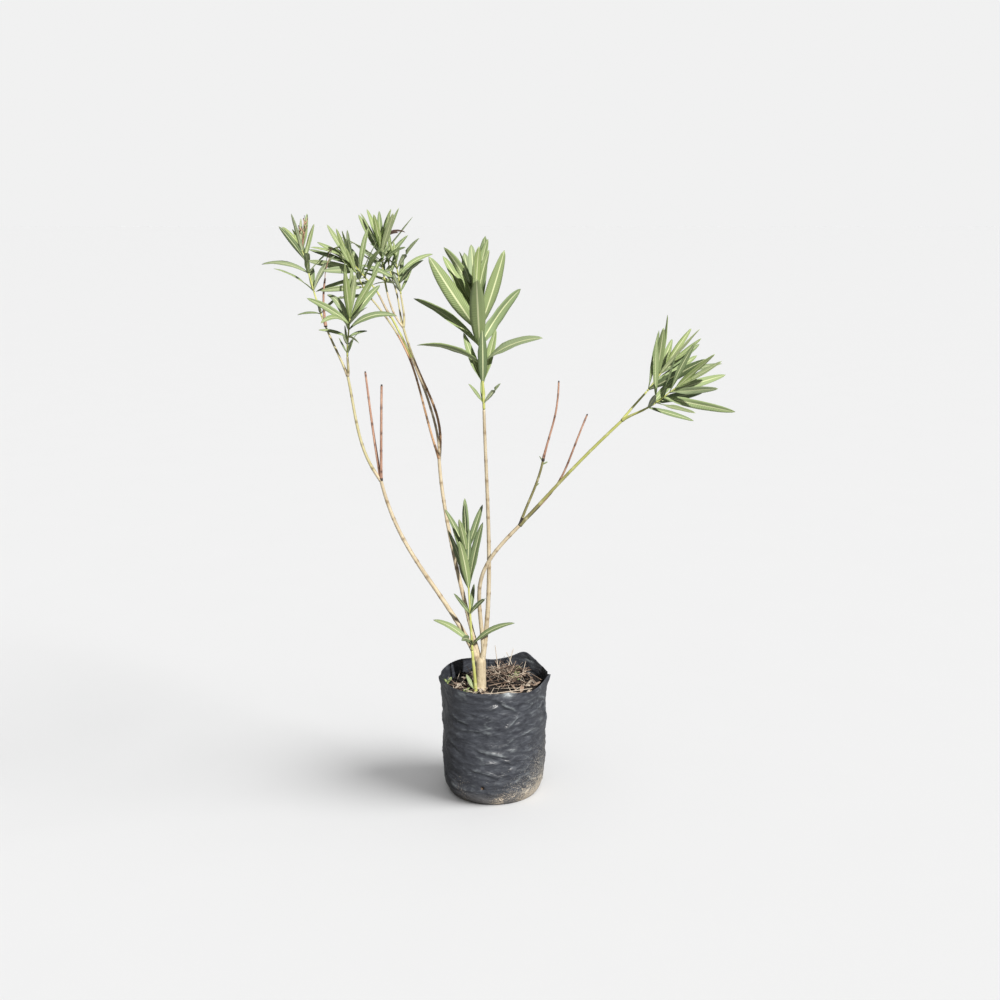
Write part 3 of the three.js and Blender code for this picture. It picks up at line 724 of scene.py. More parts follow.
def growLimbs(pieceName, names, materials):
    bm = stemMesh()
    for name in names:
        limb = limbs[name]
        thin, stout, trunk = stemForm["sides"]
        sides = trunk if name == "trunk" else stout if limb["radii"][0] > stemForm["stoutFrom"] else thin
        collar = 0 if "foot" in limb else stemForm["collar"]
        if limb.get("on") == "trunk":
            collar *= stemForm["trunkCollar"]
        dome = stemForm["dome"] if name == "trunk" else 0
        seed = list(limbs).index(name) + 1
        loose = stemForm["dryBark"] if name in dryLimbs or name == "twig_right" else 1
        bands = next(found for start, found in barkBands.items() if name.startswith(start))
        addStem(
            bm, curves[name], lambda t: limbRadius(limb, t) * loose, sides, seed, materials, bands,
            collar, dome)
    newPiece(pieceName, bm, [barks[m] for m in materials], names)


greenLimbs = ("sucker", "branch_right", "twig_right")
dryLimbs = tuple(name for name in limbs if name.startswith("stub") or name.endswith("dry"))
woodyLimbs = tuple(name for name in limbs if name not in greenLimbs + dryLimbs)
growLimbs("boughs", woodyLimbs, ("barkTan", "barkYoung", "barkGreen", "barkWarm"))
growLimbs("greenStems", greenLimbs, ("barkGreen", "barkOlive", "woodCut", "barkTurning"))
growLimbs("dryTwigs", dryLimbs, ("barkDry", "woodCut"))
print("limbs grown")

bm = stemMesh()
for number, (name, shoot) in enumerate(shoots.items()):
    addStem(
        bm, curves[name], lambda t: shootRadius(shoot, t), 10, 50 + number, ("barkGreen",), ("barkGreen",))
newPiece("youngStems", bm, [barks["barkGreen"]])

# Dry flower stalks stand up from the tip of a shoot, each with two short spurs. One more stands on a stub.
stalkForm = dict(foot=0.96, radius=0.0006, taper=0.00025, forks=0.62, spur=0.012, spurRadius=0.0005, lean=24)
dryStalk = dict(on="stub_left_outer", foot=0.98, reach=(0.012, -0.002, 0.046), taper=0.0002)
dryWood = ("barkDry", "woodCut")
bm = stemMesh()
for name, shoot in shoots.items():
    if "stalks" not in shoot:
        continue
    root = curvePoint(curves[name], stalkForm["foot"])
    count, reach = shoot["stalks"]["count"], shoot["stalks"]["length"]
    for i in range(count):
        lean = shoot["stalks"]["spread"] * (0.4 + 0.6 * abs(math.sin(i + 1)))
        heading = shoot["turn"] + 360 / count * i
        way = direction(lean, heading)
        tip = root + way * (reach * (0.95 + 0.25 * math.cos(2 * i)))
        stalk = bentCurve(root, tip, way, way)
        addStem(
            bm, stalk, lambda t: stalkForm["radius"] - stalkForm["taper"] * t, 8, 80 + i,
            dryWood, ("barkDry", 0.9, "woodCut"))
        for side in (-1, 1):
            fork = curvePoint(stalk, stalkForm["forks"] + 0.1 * side)
            out = direction(lean + stalkForm["lean"], heading + 90 * side)
            spur = bentCurve(fork, fork + out * stalkForm["spur"], out, way)
            addStem(
                bm, spur, lambda t: stalkForm["spurRadius"] + 0.0002 * t, 6, 90 + i,
                dryWood, ("barkDry", 0.8, "woodCut"))
root = curvePoint(curves[dryStalk["on"]], dryStalk["foot"])
reach = Vector(dryStalk["reach"])
stalk = bentCurve(root, root + reach, upright, reach.normalized())
addStem(
    bm, stalk, lambda t: stalkForm["radius"] - dryStalk["taper"] * t, 8, 99,
    dryWood, ("barkDry", 0.7, "woodCut"))
newPiece("flowerStalks", bm, [barks[m] for m in dryWood], ["foliage_left_outer"])

leafMesh = dict(
    across=(-1, -0.58, -0.11, 0, 0.11, 0.58, 1),    # places of the columns, as shares of the half width
    stations=12,
    thick=0.00045,
    petiole=0.0009,         # half width of the stalk
    slim=0.84,              # the blades are narrower than the solids' broad ones
    broad=dict(foliage_centre=0.94),                # and less so on the big crown
    blunt=0.78,             # and more even in width: the power that their profile is raised to
    ripple=0.05,            # waviness of the edges, as a share of the half width
    waves=17,
    ribSink=0.0003,
    ribEnd=0.93,            # share of the length at which the pale rib ends
)
youngLeaves = dict(count=5, length=0.026, spread=9, width=0.15, foot=0.97)
edgeOn = dict(share=0.24, turn=62)    # leaves that have turned their edge to the light
# leafSunlit is a painted sunlit green and leafShade a painted shaded green
greens = {
    "leafSunlit": colour(172, 184, 138),
    "leafFresh": colour(162, 180, 116),
    "leafMiddle": colour(150, 167, 114),
    "leafGrey": colour(156, 168, 136),
    "leafDeep": colour(112, 130, 90),
    "leafShade": colour(84, 100, 68),
}
under = colour(150, 168, 120)                # what the undersides turn to by half
sunlit, fresh, middle, grey, deep, shade, rib, dead = range(len(greens) + 2)
# which greens the spray of a shoot is dealt: the highest whorls are fresh or painted sunlit, the lowest deep,
# and the rest vary; the sucker's spray is dealt mostly the darkest greens as painted shade
deals = {
    "foliage_sucker": (deep, shade, shade, middle, shade, deep),
    "foliage_centre": (middle, grey, middle, fresh, deep, middle)}
anyGreen = (sunlit, middle, grey, shade, middle, deep)


def makeVeinGroup():
    # fine side veins that leave the rib at a slant, on the leaf's own map
    group, taken, given = newGroup("sideVeins", dict(Count="Float"), dict(Height="Float"))
    place = addSplit(group, addNode(group, "UVMap", uv_map="blade").outputs["UV"])
    out = addMath(group, "ABSOLUTE", addMath(group, "SUBTRACT", place["X"], 0.5))
    slant = addMath(group, "SUBTRACT", place["Y"], addMath(group, "MULTIPLY", out, 0.07))
    wave = addMath(group, "SINE", addMath(group, "MULTIPLY", slant, taken["Count"]))
    feed(group, given["Height"], wave)
    return group


sideVeins = makeVeinGroup()


def makeLeafMaterial(name, tint, roughness):
    material, tree, shader = newMaterial(
        name, Base_Color=(*tint, 1), Roughness=roughness, Specular_IOR_Level=0.45)
    veins = addNode(tree, "Group", node_tree=sideVeins)
    feed(tree, veins.inputs["Count"], 320.0)
    addBump(tree, shader, veins.outputs["Height"], 0.5, 0.0003)
    return material


# the upper sides, then the undersides in the same order
leafMaterials = [makeLeafMaterial(name, tint, 0.46) for name, tint in greens.items()]
leafMaterials.append(makeLeafMaterial("leafRib", colour(226, 232, 184), 0.5))
leafMaterials.append(makeLeafMaterial("leafDead", colour(112, 92, 84), 0.7))
for name, tint in greens.items():
    paler = tuple(lerp(a, b, 0.5) for a, b in zip(tint, under))
    leafMaterials.append(makeLeafMaterial(name + "Under", paler, 0.62))
leafMaterials.append(makeLeafMaterial("leafRibUnder", colour(214, 220, 174), 0.6))
leafMaterials.append(makeLeafMaterial("leafDeadUnder", colour(92, 72, 64), 0.75))


def addLeaf(bm, leaf, tint, seed):
    uv = bm.loops.layers.uv["blade"]
    draw = seeded(seed)
    columns, rows = leafMesh["across"], leafMesh["stations"]
    last = len(columns) - 1
    verts = bmesh.ops.create_grid(bm, x_segments=last, y_segments=rows, size=1)["verts"]
    phase = 3 * draw()
    for face in {f for v in verts for f in v.link_faces}:
        centre = face.calc_center_median()
        onRib = abs(centre.x) < 2 / last and centre.y < leafMesh["ribEnd"]
        face.material_index = rib if onRib and tint < len(greens) else tint
        for loop in face.loops:
            loop[uv].uv = (loop.vert.co.x / 2 + 0.5, loop.vert.co.y / 2 + 0.5)
    for vert in verts:
        across = columns[round((vert.co.x + 1) / 2 * last)]
        share = (vert.co.y + 1) / 2
        share = 0.5 * share + 0.5 * (share * share * (3 - 2 * share))    # closer rows at the two ends
        point, face, side, width = leafSection(leaf, share)
        width = leaf["halfWidth"] * (width / leaf["halfWidth"]) ** leafMesh["blunt"]
        width = max(width, leafMesh["petiole"] * (1 - smooth(0.05, 0.2, share)))
        lift = leafForm["fold"] * width * abs(across) ** 1.5
        wave = math.sin(leafMesh["waves"] * share + phase + 2 * across)
        lift += leafMesh["ripple"] * width * across * across * wave
        if across == 0:
            lift -= leafMesh["ribSink"] * (1 - share)
        vert.co = point + side * (across * width) + face * lift
    bmesh.ops.remove_doubles(bm, verts=verts, dist=1e-5)


def dealTint(leaf, seed, deal):
    pick = seeded(seed)() * 0.5 + 0.5
    if deal:
        return deal[int(pick * 5.99)]
    if leaf["rise"] > 0.8:
        return fresh if pick < 0.7 else sunlit
    if leaf["rise"] < 0.25:
        return deep if pick < 0.45 else grey if pick < 0.8 else middle
    return anyGreen[int(pick * 5.99)]


def leafPiece(name, bm, nodes):
    piece = newPiece(name, bm, leafMaterials, nodes)
    addShell(piece, leafMesh["thick"], 0, len(leafMaterials) // 2)
    return piece


bm = bmesh.new()
bm.loops.layers.uv.new("blade")
serial = 0
for name, shoot in shoots.items():
    for leaf in shootLeaves[name]:
        serial += 1
        draw = seeded(serial * 3 + 1)
        if draw() * 0.5 + 0.5 < edgeOn["share"]:
            leaf["twist"] += math.radians(math.copysign(edgeOn["turn"], draw()))
        leaf["halfWidth"] *= leafMesh["broad"].get(name, leafMesh["slim"])
        addLeaf(bm, leaf, dealTint(leaf, serial, deals.get(name)), serial)
    # the unopened leaves at the tip
    draw = seeded(shoot["seed"] + 7)
    root, stem = curvePoint(curves[name], youngLeaves["foot"]), curveTangent(curves[name], 0.99)
    for k in range(youngLeaves["count"]):
        length = youngLeaves["length"] * (1 + 0.3 * draw()) * min(1, shoot["width"] / 0.15)
        spread = youngLeaves["spread"] * (1 + draw())
        leaf = leafAt(root, stem, shoot["turn"] + 137.5 * k, spread, 3, length, youngLeaves["width"])
        addLeaf(bm, leaf, fresh, serial + k)

# Single leaves: where each sits on its limb, its tint, then heading, spread, arch, length, width and twist.
# They grow at the foot of the sucker, last on the dying twig, stand at the top, or hang on dead and curled.
curves["dryStalk"] = stalk
singleLeaves = (
    ("sucker", 0.12, grey, (165, 38, -20, 0.030, 0.26)),
    ("sucker", 0.06, middle, (200, 60, 10, 0.018, 0.16)),
    ("twig_right", 0.97, deep, (190, 34, 8, 0.011, 0.2)),
    ("twig_right", 0.93, middle, (350, 48, -6, 0.010, 0.26)),
    ("twig_right", 0.60, fresh, (355, 22, 6, 0.009, 0.22)),
    ("foliage_top", 0.9, middle, (0, 15, 3, 0.072, 0.085)),
    ("foliage_top", 0.92, middle, (12, 24, 5, 0.076, 0.085)),
    ("foliage_top", 0.86, middle, (200, 9, -4, 0.056, 0.085)),
    ("foliage_top", 1, dead, (340, -4, 105, 0.050, 0.12, 60)),
    ("foliage_top", 0.98, dead, (5, -6, 125, 0.060, 0.07, 60)),
    ("dryStalk", 1, dead, (230, 150, 30, 0.022, 0.2, 60)),
    ("dryStalk", 0.9, dead, (230, 60, 60, 0.012, 0.2, 60)),
)
for limb, at, tint, form in singleLeaves:
    serial += 1
    root, stem = curvePoint(curves[limb], at), curveTangent(curves[limb], at)
    addLeaf(bm, leafAt(root, stem, *form), tint, serial)
leaves = leafPiece("leaves", bm, shoots)
print(f"leaves: {len(leaves.data.polygons)} faces")

bagForm = dict(
    rim=0.185, foot=0.070, belly=0.081, rounding=0.012, flare=0.003, ripple=0.0011, hollow=0.0004,
    wall=0.0006, inset=0.0012, sides=300, rows=104, footRings=14)
# where the rim rises or sinks: heading in degrees, width in degrees, height
rimLifts = ((52, 15, 0.014), (92, 14, -0.005), (138, 20, 0.002), (312, 18, -0.005), (353, 5, 0.004))
# corners of the rim that stand out: heading, width in degrees, reach outwards, depth below the rim
dogEars = ((355, 5, 0.006, 0.030), (187, 5, 0.0045, 0.018))
# where the rim leans in, with a painted highlight along it
lip = dict(heading=286, width=5, inward=0.0042, depth=0.007, highlightGain=2.5)
drains = dict(at=(18, 78, 138, 198, 258), radius=0.0026, height=0.031, room=0.0022, edge=0.012, sides=20)
folds = dict(large=0.0013, middle=0.0017, fine=0.0005)
# creases of the film: heading and height of the two ends, depth, half width
pulls = (
    (270, 0.176, 296, 0.150, 0.0022, 0.0050), (298, 0.150, 284, 0.128, 0.0016, 0.0040),
    (282, 0.170, 262, 0.160, 0.0014, 0.0040), (250, 0.092, 290, 0.078, 0.0022, 0.0042),
    (262, 0.084, 296, 0.066, 0.0018, 0.0036), (228, 0.120, 268, 0.124, 0.0014, 0.0040),
    (215, 0.140, 244, 0.128, 0.0016, 0.0045), (240, 0.060, 275, 0.050, 0.0014, 0.0038),
    (300, 0.110, 330, 0.120, 0.0016, 0.0042), (205, 0.098, 236, 0.082, 0.0014, 0.0040),
    (340, 0.150, 358, 0.110, 0.0020, 0.0050), (322, 0.168, 346, 0.152, 0.0018, 0.0045),
)


def bump(angle, at, width):
    off = (angle - at + 180) % 360 - 180
    return math.exp(-(off / width) ** 2)


def bagRadius(angle, height):
    a = math.radians(angle)
    swell = 1 - math.exp(-height / bagForm["rounding"])
    waves = math.sin(3 * a + 1.1) + 0.6 * math.sin(5 * a - 0.6)
    radius = bagForm["foot"] + (bagForm["belly"] - bagForm["foot"]) * swell
    return radius + bagForm["flare"] * (height / bagForm["rim"]) ** 4 + bagForm["ripple"] * waves * swell


def crease(place):
    # one sharp ridge wherever the noise passes zero
    return math.exp(-6 * abs(noise.noise(place))) - 0.35


def pullRelief(angle, height):
    # a sharp lip beside a shallow trough along each crease, fading to its ends
    relief = 0.0
    for fromAngle, fromHeight, toAngle, toHeight, depth, halfWidth in pulls:
        across = math.radians((angle - fromAngle + 180) % 360 - 180) * bagForm["belly"]
        up = height - fromHeight
        wayX = math.radians(toAngle - fromAngle) * bagForm["belly"]
        wayY = toHeight - fromHeight
        length = math.hypot(wayX, wayY)
        share = (across * wayX + up * wayY) / length ** 2
        if not -0.1 < share < 1.1:
            continue
        off = (up * wayX - across * wayY) / length
        off += 0.0016 * noise.noise(Vector((share * 3, fromAngle, 0)))
        fade = smooth(-0.1, 0.25, share) * (1 - smooth(0.7, 1.1, share))
        near = off / halfWidth
        if abs(near) < 3:
            relief += depth * fade * (math.exp(-(near * 1.8 - 0.9) ** 2) - 0.8 * math.exp(-(near + 0.7) ** 2))
    return relief


def filmRelief(angle, height):
    # wrinkles of the film, most of them level, softer near the ground; and how near this is to a fold's
    # crest, which sets the strength of a painted highlight there
    a = math.radians(angle)
    around = Vector((math.cos(a), math.sin(a), 0))
    slant = 0.5 * noise.noise(around * 1.5 + Vector((3, 1, height * 16)))
    level = Vector((0, 0, height * 44 + slant))
    relief = folds["large"] * noise.noise(around * 1.4 + level * 0.8)
    wide = crease(around * 1.3 + level * 1.3 + Vector((7, 0, 0)))
    narrow = crease(around * 2.6 + level * 0.9 + Vector((0, 9, 2)))
    thin = crease(around * 2.2 + level * 2.6 + Vector((5, 5, 0)))
    relief += folds["middle"] * (0.8 * wide + 0.6 * narrow) + folds["fine"] * thin
    pull = pullRelief(angle % 360, height)
    fade = smooth(0.0, 0.02, height)
    broken = smooth(-0.15, 0.45, noise.noise(around * 4 + level * 0.5))
    crest = (smooth(0.36, 0.62, wide) + smooth(0.3, 0.6, thin) * 0.8) * broken * 0.7
    crest += smooth(0.0006, 0.0017, pull)
    return (relief + pull) * fade, min(1, crest * fade)


def spunBody(profile, sides):
    # profile: corners (r, z) in the plane of +X, from the axis to the axis or to an open rim
    bm = bmesh.new()
    verts = [bm.verts.new((r, 0, z)) for r, z in profile]
    edges = [bm.edges.new(pair) for pair in zip(verts, verts[1:])]
    bmesh.ops.spin(
        bm, geom=verts + edges, cent=(0, 0, 0), axis=(0, 0, 1), angle=math.tau, steps=sides, use_merge=True)
    bmesh.ops.remove_doubles(bm, verts=bm.verts, dist=1e-6)
    bmesh.ops.recalc_face_normals(bm, faces=bm.faces)
    return bm


def centred(tree, mask, gain):
    # a noise drawn out to both sides of zero
    return addMath(tree, "MULTIPLY", addMath(tree, "SUBTRACT", mask, 0.5), gain)


filmLook = dict(
    dark=colour(47, 49, 56), grey=colour(67, 70, 77), light=colour(98, 102, 109),
    paintedHighlight=colour(150, 157, 160), dust=colour(150, 144, 138),
    dirt=colour(150, 132, 114), sand=colour(220, 204, 182), speck=colour(196, 190, 178))
filmMaterial, tree, shader = newMaterial("blackFilm")
place = objectPlace(tree)
axis = addSplit(tree, place)
cloud = addNoise(tree, place, 26, 5, 0.6)
streak = addNoise(tree, addMapping(tree, place, (1, 1, 2.4)), 60, 5, 0.66, 0.5)
grit = addNoise(tree, place, 460, 5, 0.74)
sparse = addNoise(tree, place, 900, 2, 0.6)
# more dirt toward the ground and to the right
low = addMath(tree, "MULTIPLY_ADD", axis["Z"], -30.0, 0.72)
right = addMath(tree, "MULTIPLY", addMath(tree, "MAXIMUM", axis["X"], 0.0), 17.0)
level = addMath(tree, "ADD", addMath(tree, "MULTIPLY", low, 0.75), addMath(tree, "MULTIPLY", right, 0.45))
amount = addMath(tree, "ADD", level, centred(tree, cloud, 2.4))
dirtMask = addRamp(tree, addMath(tree, "ADD", amount, centred(tree, grit, 4.0)), (0.68, 0.0), (0.90, 1.0))
thrown = addMath(tree, "MULTIPLY_ADD", addMath(tree, "ADD", amount, right), 0.1, sparse)
speckMask = addRamp(tree, thrown, (0.69, 0.0), (0.73, 1.0))
film = addRamp(tree, streak, (0.34, filmLook["dark"]), (0.55, filmLook["grey"]), (0.76, filmLook["light"]))
dirt = addRamp(tree, grit, (0.40, filmLook["dirt"]), (0.60, filmLook["sand"]))
# a painted highlight: the colour turns pale along the fold crests and on the rim lip, more so where the
# streaks are light
crest = addNode(tree, "Attribute", attribute_name="crest").outputs["Fac"]
highlightMask = addMath(tree, "MULTIPLY", crest, addRamp(tree, streak, (0.38, 0.15), (0.62, 0.75)))
paintedHighlight = addMix(tree, highlightMask, film, filmLook["paintedHighlight"])
# a thin coat of dust where the bag has stood in the dirt
coat = addMath(tree, "MULTIPLY", addMath(tree, "MAXIMUM", low, 0.0), streak)
dusty = addMix(tree, dirtMask, addMix(tree, coat, paintedHighlight, filmLook["dust"]), dirt)
feed(tree, shader.inputs["Base Color"], addMix(tree, speckMask, dusty, filmLook["speck"]))
matt = addMath(tree, "MULTIPLY_ADD", streak, 0.3, 0.22)
feed(tree, shader.inputs["Roughness"], addMath(tree, "MULTIPLY_ADD", dirtMask, 0.5, matt))
crumple = addNoise(tree, addMapping(tree, place, (0.7, 0.7, 2.0)), 70, 3, 0.5, 1.2)
addBump(tree, shader, addMath(tree, "MULTIPLY_ADD", dirtMask, 0.35, crumple), 0.42, 0.0035)


def shapeFilm(vert, crestLayer):
    # moves a corner of the plain round bag to its place on the wrinkled one
    angle = math.degrees(math.atan2(vert.co.y, vert.co.x))
    flat = math.hypot(vert.co.x, vert.co.y)
    if flat < bagForm["foot"] - 1e-4:
        vert.co.z = bagForm["hollow"] * (1 - flat / bagForm["foot"])
        return
    height = vert.co.z
    up = height / bagForm["rim"]
    lift = sum(rise * bump(angle, at, width) for at, width, rise in rimLifts)
    relief, vert[crestLayer] = filmRelief(angle, height)
    onLip = bump(angle, lip["heading"], lip["width"])
    # a painted highlight on the lip of the rim
    vert[crestLayer] += lip["highlightGain"] * onLip * smooth(0.95, 0.99, up)
    radius = bagRadius(angle, height) - bagForm["inset"] + relief
    for at, width, reach, depth in dogEars:
        radius += reach * bump(angle, at, width) * smooth(1 - depth / bagForm["rim"], 1, up)
    radius -= lip["inward"] * onLip * smooth(1 - lip["depth"] / bagForm["rim"], 1, up)
    a = math.radians(angle)
    vert.co = Vector((radius * math.cos(a), radius * math.sin(a), height + lift * smooth(0.6, 1, up)))


def punchDrain(bm, angle):
    # the faces round the hole give way to a band that ends in a true circle
    a = math.radians(angle)
    out = Vector((math.cos(a), math.sin(a), 0))
    centre = out * bagRadius(angle, drains["height"]) + Vector((0, 0, drains["height"]))
    cleared = drains["radius"] + drains["room"]
    near = [f for f in bm.faces if (f.calc_center_median() - centre).length < cleared]
    bmesh.ops.delete(bm, geom=near, context="FACES")
    edge = [e for e in bm.edges if e.is_boundary and (e.verts[0].co - centre).length < drains["edge"]]
    circle = bmesh.ops.create_circle(bm, cap_ends=False, segments=drains["sides"], radius=drains["radius"])
    ring = circle["verts"]
    turnTo = upright.rotation_difference(out)
    level = sum(((e.verts[0].co - centre).dot(out) for e in edge)) / len(edge)
    for vert in ring:
        vert.co.rotate(turnTo)
        vert.co += centre + out * level
    bmesh.ops.bridge_loops(bm, edges=edge + list({e for v in ring for e in v.link_edges}))


profile = [(bagForm["foot"] * k / bagForm["footRings"], 0) for k in range(bagForm["footRings"])]
profile += [(bagForm["foot"], bagForm["rim"] * (k / bagForm["rows"])) for k in range(bagForm["rows"] + 1)]
bm = spunBody(profile, bagForm["sides"])
crestLayer = bm.verts.layers.float.new("crest")
for vert in bm.verts:
    shapeFilm(vert, crestLayer)
for angle in drains["at"]:
    punchDrain(bm, angle)
bmesh.ops.recalc_face_normals(bm, faces=bm.faces)
addShell(newPiece("filmBag", bm, [filmMaterial], ["bag"]), bagForm["wall"], -1)
print("bag ready")

soilForm = dict(
    top=0.166, lump=0.0022, heap=0.008, heapAt=48, heapOut=0.046, heapWidth=0.030, clods=0.0042,
    edgeSink=0.004, bottom=0.003, sideFrom=0.012, sideTo=0.157, wallIn=0.004,
    sideRows=24, rings=44, sides=150)
soilLook = dict(
    dark=colour(16, 14, 14), brown=colour(34, 28, 26), light=colour(72, 59, 50), specks=colour(140, 112, 80),
    dry=colour(128, 108, 92))


def soilHeight(x, y):
    angle = math.atan2(y, x)
    share = math.hypot(x, y) / bagForm["belly"]
    at = math.radians(soilForm["heapAt"])
    gapX = x - soilForm["heapOut"] * math.cos(at)
    gapY = y - soilForm["heapOut"] * math.sin(at)
    heap = soilForm["heap"] * math.exp(-(gapX * gapX + gapY * gapY) / soilForm["heapWidth"] ** 2)
    waves = math.sin(3 * angle + 2) + math.sin(7 * angle + 5 * share)
    return soilForm["top"] + heap + soilForm["lump"] * share * waves


soilMaterial, tree, shader = newMaterial("soil", Roughness=0.95)
place = objectPlace(tree)
lumps = addNoise(tree, place, 130, 5, 0.65)
grains = addNoise(tree, place, 700, 4, 0.7)
earth = addRamp(tree, lumps, (0.34, soilLook["dark"]), (0.58, soilLook["brown"]), (0.78, soilLook["light"]))
topsoil = addMix(tree, addRamp(tree, grains, (0.64, 0.0), (0.72, 1.0)), earth, soilLook["specks"])
# the soil behind the drains is dry and pale
foot = addRamp(tree, addSplit(tree, place)["Z"], (0.05, 1.0), (0.07, 0.0))
feed(tree, shader.inputs["Base Color"], addMix(tree, foot, topsoil, soilLook["dry"]))
addBump(tree, shader, grains, 0.9, 0.0015)

foot, rings = bagForm["foot"], soilForm["rings"]
topMark = 0.2                                    # the corners of the top start level with it
profile = [(0, soilForm["bottom"]), (foot - soilForm["wallIn"], soilForm["bottom"])]
for k in range(soilForm["sideRows"] + 1):
    profile.append((foot, lerp(soilForm["sideFrom"], soilForm["sideTo"], k / soilForm["sideRows"])))
profile += [(foot * (1 - k / rings), topMark) for k in range(rings + 1)]
bm = spunBody(profile, soilForm["sides"])
for vert in bm.verts:
    a = math.atan2(vert.co.y, vert.co.x)
    height = vert.co.z
    inner = bagRadius(math.degrees(a), min(height, 0.165)) - soilForm["wallIn"]
    if height > soilForm["sideTo"] + gap:
        share = math.hypot(vert.co.x, vert.co.y) / foot
        x, y = inner * share * math.cos(a), inner * share * math.sin(a)
        spot = Vector((x, y, 0))
        clod = noise.noise(spot * 110) + 0.6 * noise.noise(spot * 260) + 0.35 * noise.noise(spot * 600)
        top = soilHeight(x, y) - 0.001 + soilForm["clods"] * clod
        vert.co = Vector((x, y, top - soilForm["edgeSink"] * smooth(0.9, 1, share)))
    elif height > soilForm["bottom"] + gap:
        vert.co = Vector((inner * math.cos(a), inner * math.sin(a), height))
newPiece("pottingSoil", bm, [soilMaterial], ["soil"])
print("soil ready")

litter = dict(
    straws=250, radius=0.0006, spread=0.074, inside=0.073, ends=0.077,
    heap=(0.026, 0.042, 0.033), left=(-0.046, -0.012, 0.022), elsewhere=0.09)    # a patch: x, y and width
flakeForm = dict(count=38, within=0.068, size=0.0035, uneven=0.0022, lift=0.0025, thick=0.0003)
strawTints = {
    "strawPale": colour(220, 206, 188), "strawTan": colour(176, 154, 136),
    "strawBrown": colour(118, 98, 84), "strawDark": colour(56, 46, 43)}
# long pale straws: the foot, then the lean, heading, length and bend
longStraws = (
    ((0.000, -0.058, 0.176), 86, 10, 0.060, 0.03), ((-0.014, -0.050, 0.173), 87, -4, 0.058, -0.05),
    ((0.020, 0.040, 0.172), 34, 60, 0.042, 0.15), ((0.034, 0.046, 0.172), 24, 160, 0.036, -0.2),
    ((0.008, 0.048, 0.168), 22, 110, 0.045, -0.1))
strawMaterials = []
for name, tint in strawTints.items():
    material, tree, shader = newMaterial(name, Roughness=0.75)
    stain = addNoise(tree, objectPlace(tree), 240, 3, 0.6)
    deeper = tuple(0.62 * c for c in tint)
    feed(tree, shader.inputs["Base Color"], addRamp(tree, stain, (0.35, deeper), (0.65, tint)))
    addBump(tree, shader, stain, 0.3, 0.0004)
    strawMaterials.append(material)


def inPatch(x, y, patch):
    return math.exp(-((x - patch[0]) ** 2 + (y - patch[1]) ** 2) / patch[2] ** 2)


def addStraw(bm, start, way, length, bend, radius, tint, steps=6):
    # a thin stalk, bent evenly to one side
    verts = addRod(bm, 5, steps)
    turnTo = upright.rotation_difference(way)
    for vert in verts:
        share = vert.co.z + 0.5
        thin = radius * (1 - 0.45 * share)
        spot = Vector((vert.co.x * thin, vert.co.y * thin + bend * length * share * share, length * share))
        spot.rotate(turnTo)
        vert.co = start + spot
    paint(verts, tint)


bm = bmesh.new()
draw = seeded(31)
placed = 0
while placed < litter["straws"]:
    x, y = litter["spread"] * draw(), litter["spread"] * draw()
    if math.hypot(x, y) > litter["inside"]:
        continue
    onHeap = inPatch(x, y, litter["heap"])
    if draw() * 0.5 + 0.5 > litter["elsewhere"] + 0.91 * onHeap + 0.4 * inPatch(x, y, litter["left"]):
        continue
    length = 0.016 + 0.015 * (draw() + 1)
    lean = 84 + 16 * draw() if draw() < 0.3 else 56 + 26 * draw()
    way = direction(lean, 180 * draw())
    height = soilHeight(x, y) + 0.0015 + 0.0050 * onHeap * (draw() + 1)
    start = Vector((x, y, height)) - way * (length / 2)
    end = start + way * length
    if max(math.hypot(start.x, start.y), math.hypot(end.x, end.y)) > litter["ends"]:
        continue
    placed += 1
    tint = (0, 0, 1, 1, 2, 3)[min(5, int(3 * (draw() + 1)))]
    addStraw(bm, start, way, length, 0.25 * draw(), litter["radius"] * (1 + 0.4 * draw()), tint)
for start, lean, heading, length, bend in longStraws:
    addStraw(bm, Vector(start), direction(lean, heading), length, bend, 1.5 * litter["radius"], 0, 12)
newPiece("straws", bm, strawMaterials, ["soil"])

bm = bmesh.new()
draw = seeded(77)
for k in range(flakeForm["count"]):
    a, out = math.pi * draw(), flakeForm["within"] * math.sqrt(0.5 * (draw() + 1))
    x, y = out * math.cos(a), out * math.sin(a)
    size = flakeForm["size"] + flakeForm["uneven"] * draw()
    verts = bmesh.ops.create_grid(bm, x_segments=3, y_segments=2, size=1)["verts"]
    swing = Quaternion(direction(90, 180 * draw()), 0.5 * draw()) @ Quaternion(upright, math.pi * draw())
    for vert in verts:
        narrow = 1 - 0.75 * abs(vert.co.x) ** 2
        spot = Vector((vert.co.x * size * 1.8, vert.co.y * size * 0.6 * narrow, size * 0.5 * vert.co.y ** 2))
        spot.rotate(swing)
        vert.co = spot + Vector((x, y, soilHeight(x, y) + flakeForm["lift"]))
    paint(verts, min(3, int(2 * (draw() + 1))))
addShell(newPiece("flakes", bm, strawMaterials, ["soil"]), flakeForm["thick"], -1)
print("litter strewn")

# each seedling: its place and the count of its leaves
seedlings = ((-0.072, 0.018, 7), (0.034, 0.020, 6), (0.036, 0.058, 4), (-0.044, -0.030, 4))
bm = bmesh.new()
bm.loops.layers.uv.new("blade")
for x, y, count in seedlings:
    root = Vector((x, y, soilHeight(x, y) - 0.001))
    for k in range(count):
        serial += 1
        lean = 22 + 26 * (k % 3)
        length = 0.013 - 0.0015 * (k % 3)
        addLeaf(bm, leafAt(root, upright, 137.5 * k + 1000 * x, lean, 30, length, 0.3), fresh, serial)
leafPiece("seedlings", bm, ["soil"])
print("seedlings ready")

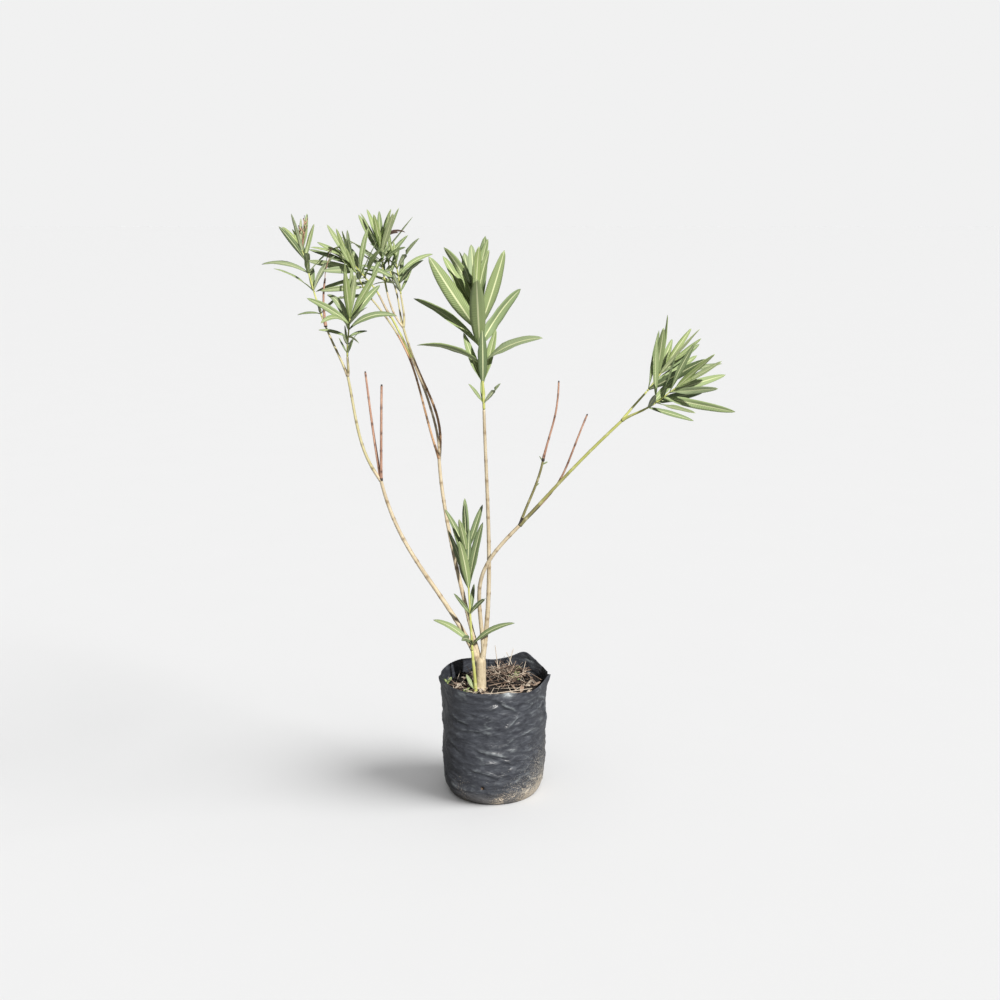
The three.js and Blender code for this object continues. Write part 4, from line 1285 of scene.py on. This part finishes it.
# The paper gives back less light to the plant than the lens sees of it.
paper = dict(dim=0.838, bright=0.842, back=(0.34, 0.34, 0.34), size=30)
floorMaterial, tree, shader = newMaterial("paper", Roughness=0.95, Specular_IOR_Level=0.1)
tooth = addNoise(tree, objectPlace(tree), 6, 2, 0.5)
seenPaper = addRamp(tree, tooth, (0.3, paper["dim"]), (0.7, paper["bright"]))
seen = addNode(tree, "LightPath").outputs["Is Camera Ray"]
feed(tree, shader.inputs["Base Color"], addMix(tree, seen, paper["back"], seenPaper))
bm = bmesh.new()
bmesh.ops.create_grid(bm, x_segments=1, y_segments=1, size=paper["size"])
floor = newObject("floor", bm, [floorMaterial])

# the backdrop is pale to the lens and gives the plant a dimmer light
backdrop = dict(grey=0.879, light=0.22)
world = bpy.data.worlds.new("studio")
world.use_nodes = True
bpy.context.scene.world = world
tree = world.node_tree
back = tree.nodes["Background"].inputs
feed(tree, back["Color"], (backdrop["grey"], backdrop["grey"], backdrop["grey"]))
seen = addNode(tree, "LightPath").outputs["Is Camera Ray"]
feed(tree, back["Strength"], addMath(tree, "MULTIPLY_ADD", seen, 1 - backdrop["light"], backdrop["light"]))

plant = [each for each in bpy.context.scene.objects if each.type == "MESH" and each != floor]
suns = {
    "keySun": dict(strength=4.8, softness=2.0, tint=(1.0, 0.975, 0.93), lean=54, heading=296, lit=plant),
    "floorSun": dict(strength=2.80, softness=40, tint=(1.0, 1.0, 1.0), lean=50, heading=344, lit=[floor]),
    "floorFill": dict(strength=0.955, softness=120, tint=(1.0, 1.0, 1.0), lean=10, heading=344, lit=[floor]),
}
for name, look in suns.items():
    light = bpy.data.lights.new(name, "SUN")
    light.energy = look["strength"]
    light.angle = math.radians(look["softness"])
    light.color = look["tint"]
    lamp = bpy.data.objects.new(name, light)
    lamp.rotation_euler = direction(look["lean"], look["heading"]).to_track_quat("Z", "Y").to_euler()
    bpy.context.scene.collection.objects.link(lamp)
    # it lights only its own pieces, though all the others still throw their shadow in it
    lit = bpy.data.collections.new(name + "Lit")
    for piece in look["lit"]:
        lit.objects.link(piece)
    lamp.light_linking.receiver_collection = lit
print("lights ready")

cameraForm = dict(lens=48.6, sensor=36, place=(0.010, -1.970, 0.920), tilt=76.9)
view = bpy.data.cameras.new("camera")
view.lens = cameraForm["lens"]
view.sensor_width = cameraForm["sensor"]
camera = bpy.data.objects.new("camera", view)
camera.location = cameraForm["place"]
camera.rotation_euler = (math.radians(cameraForm["tilt"]), 0, 0)
bpy.context.scene.collection.objects.link(camera)
bpy.context.scene.camera = camera
bpy.context.scene.view_settings.view_transform = "Standard"
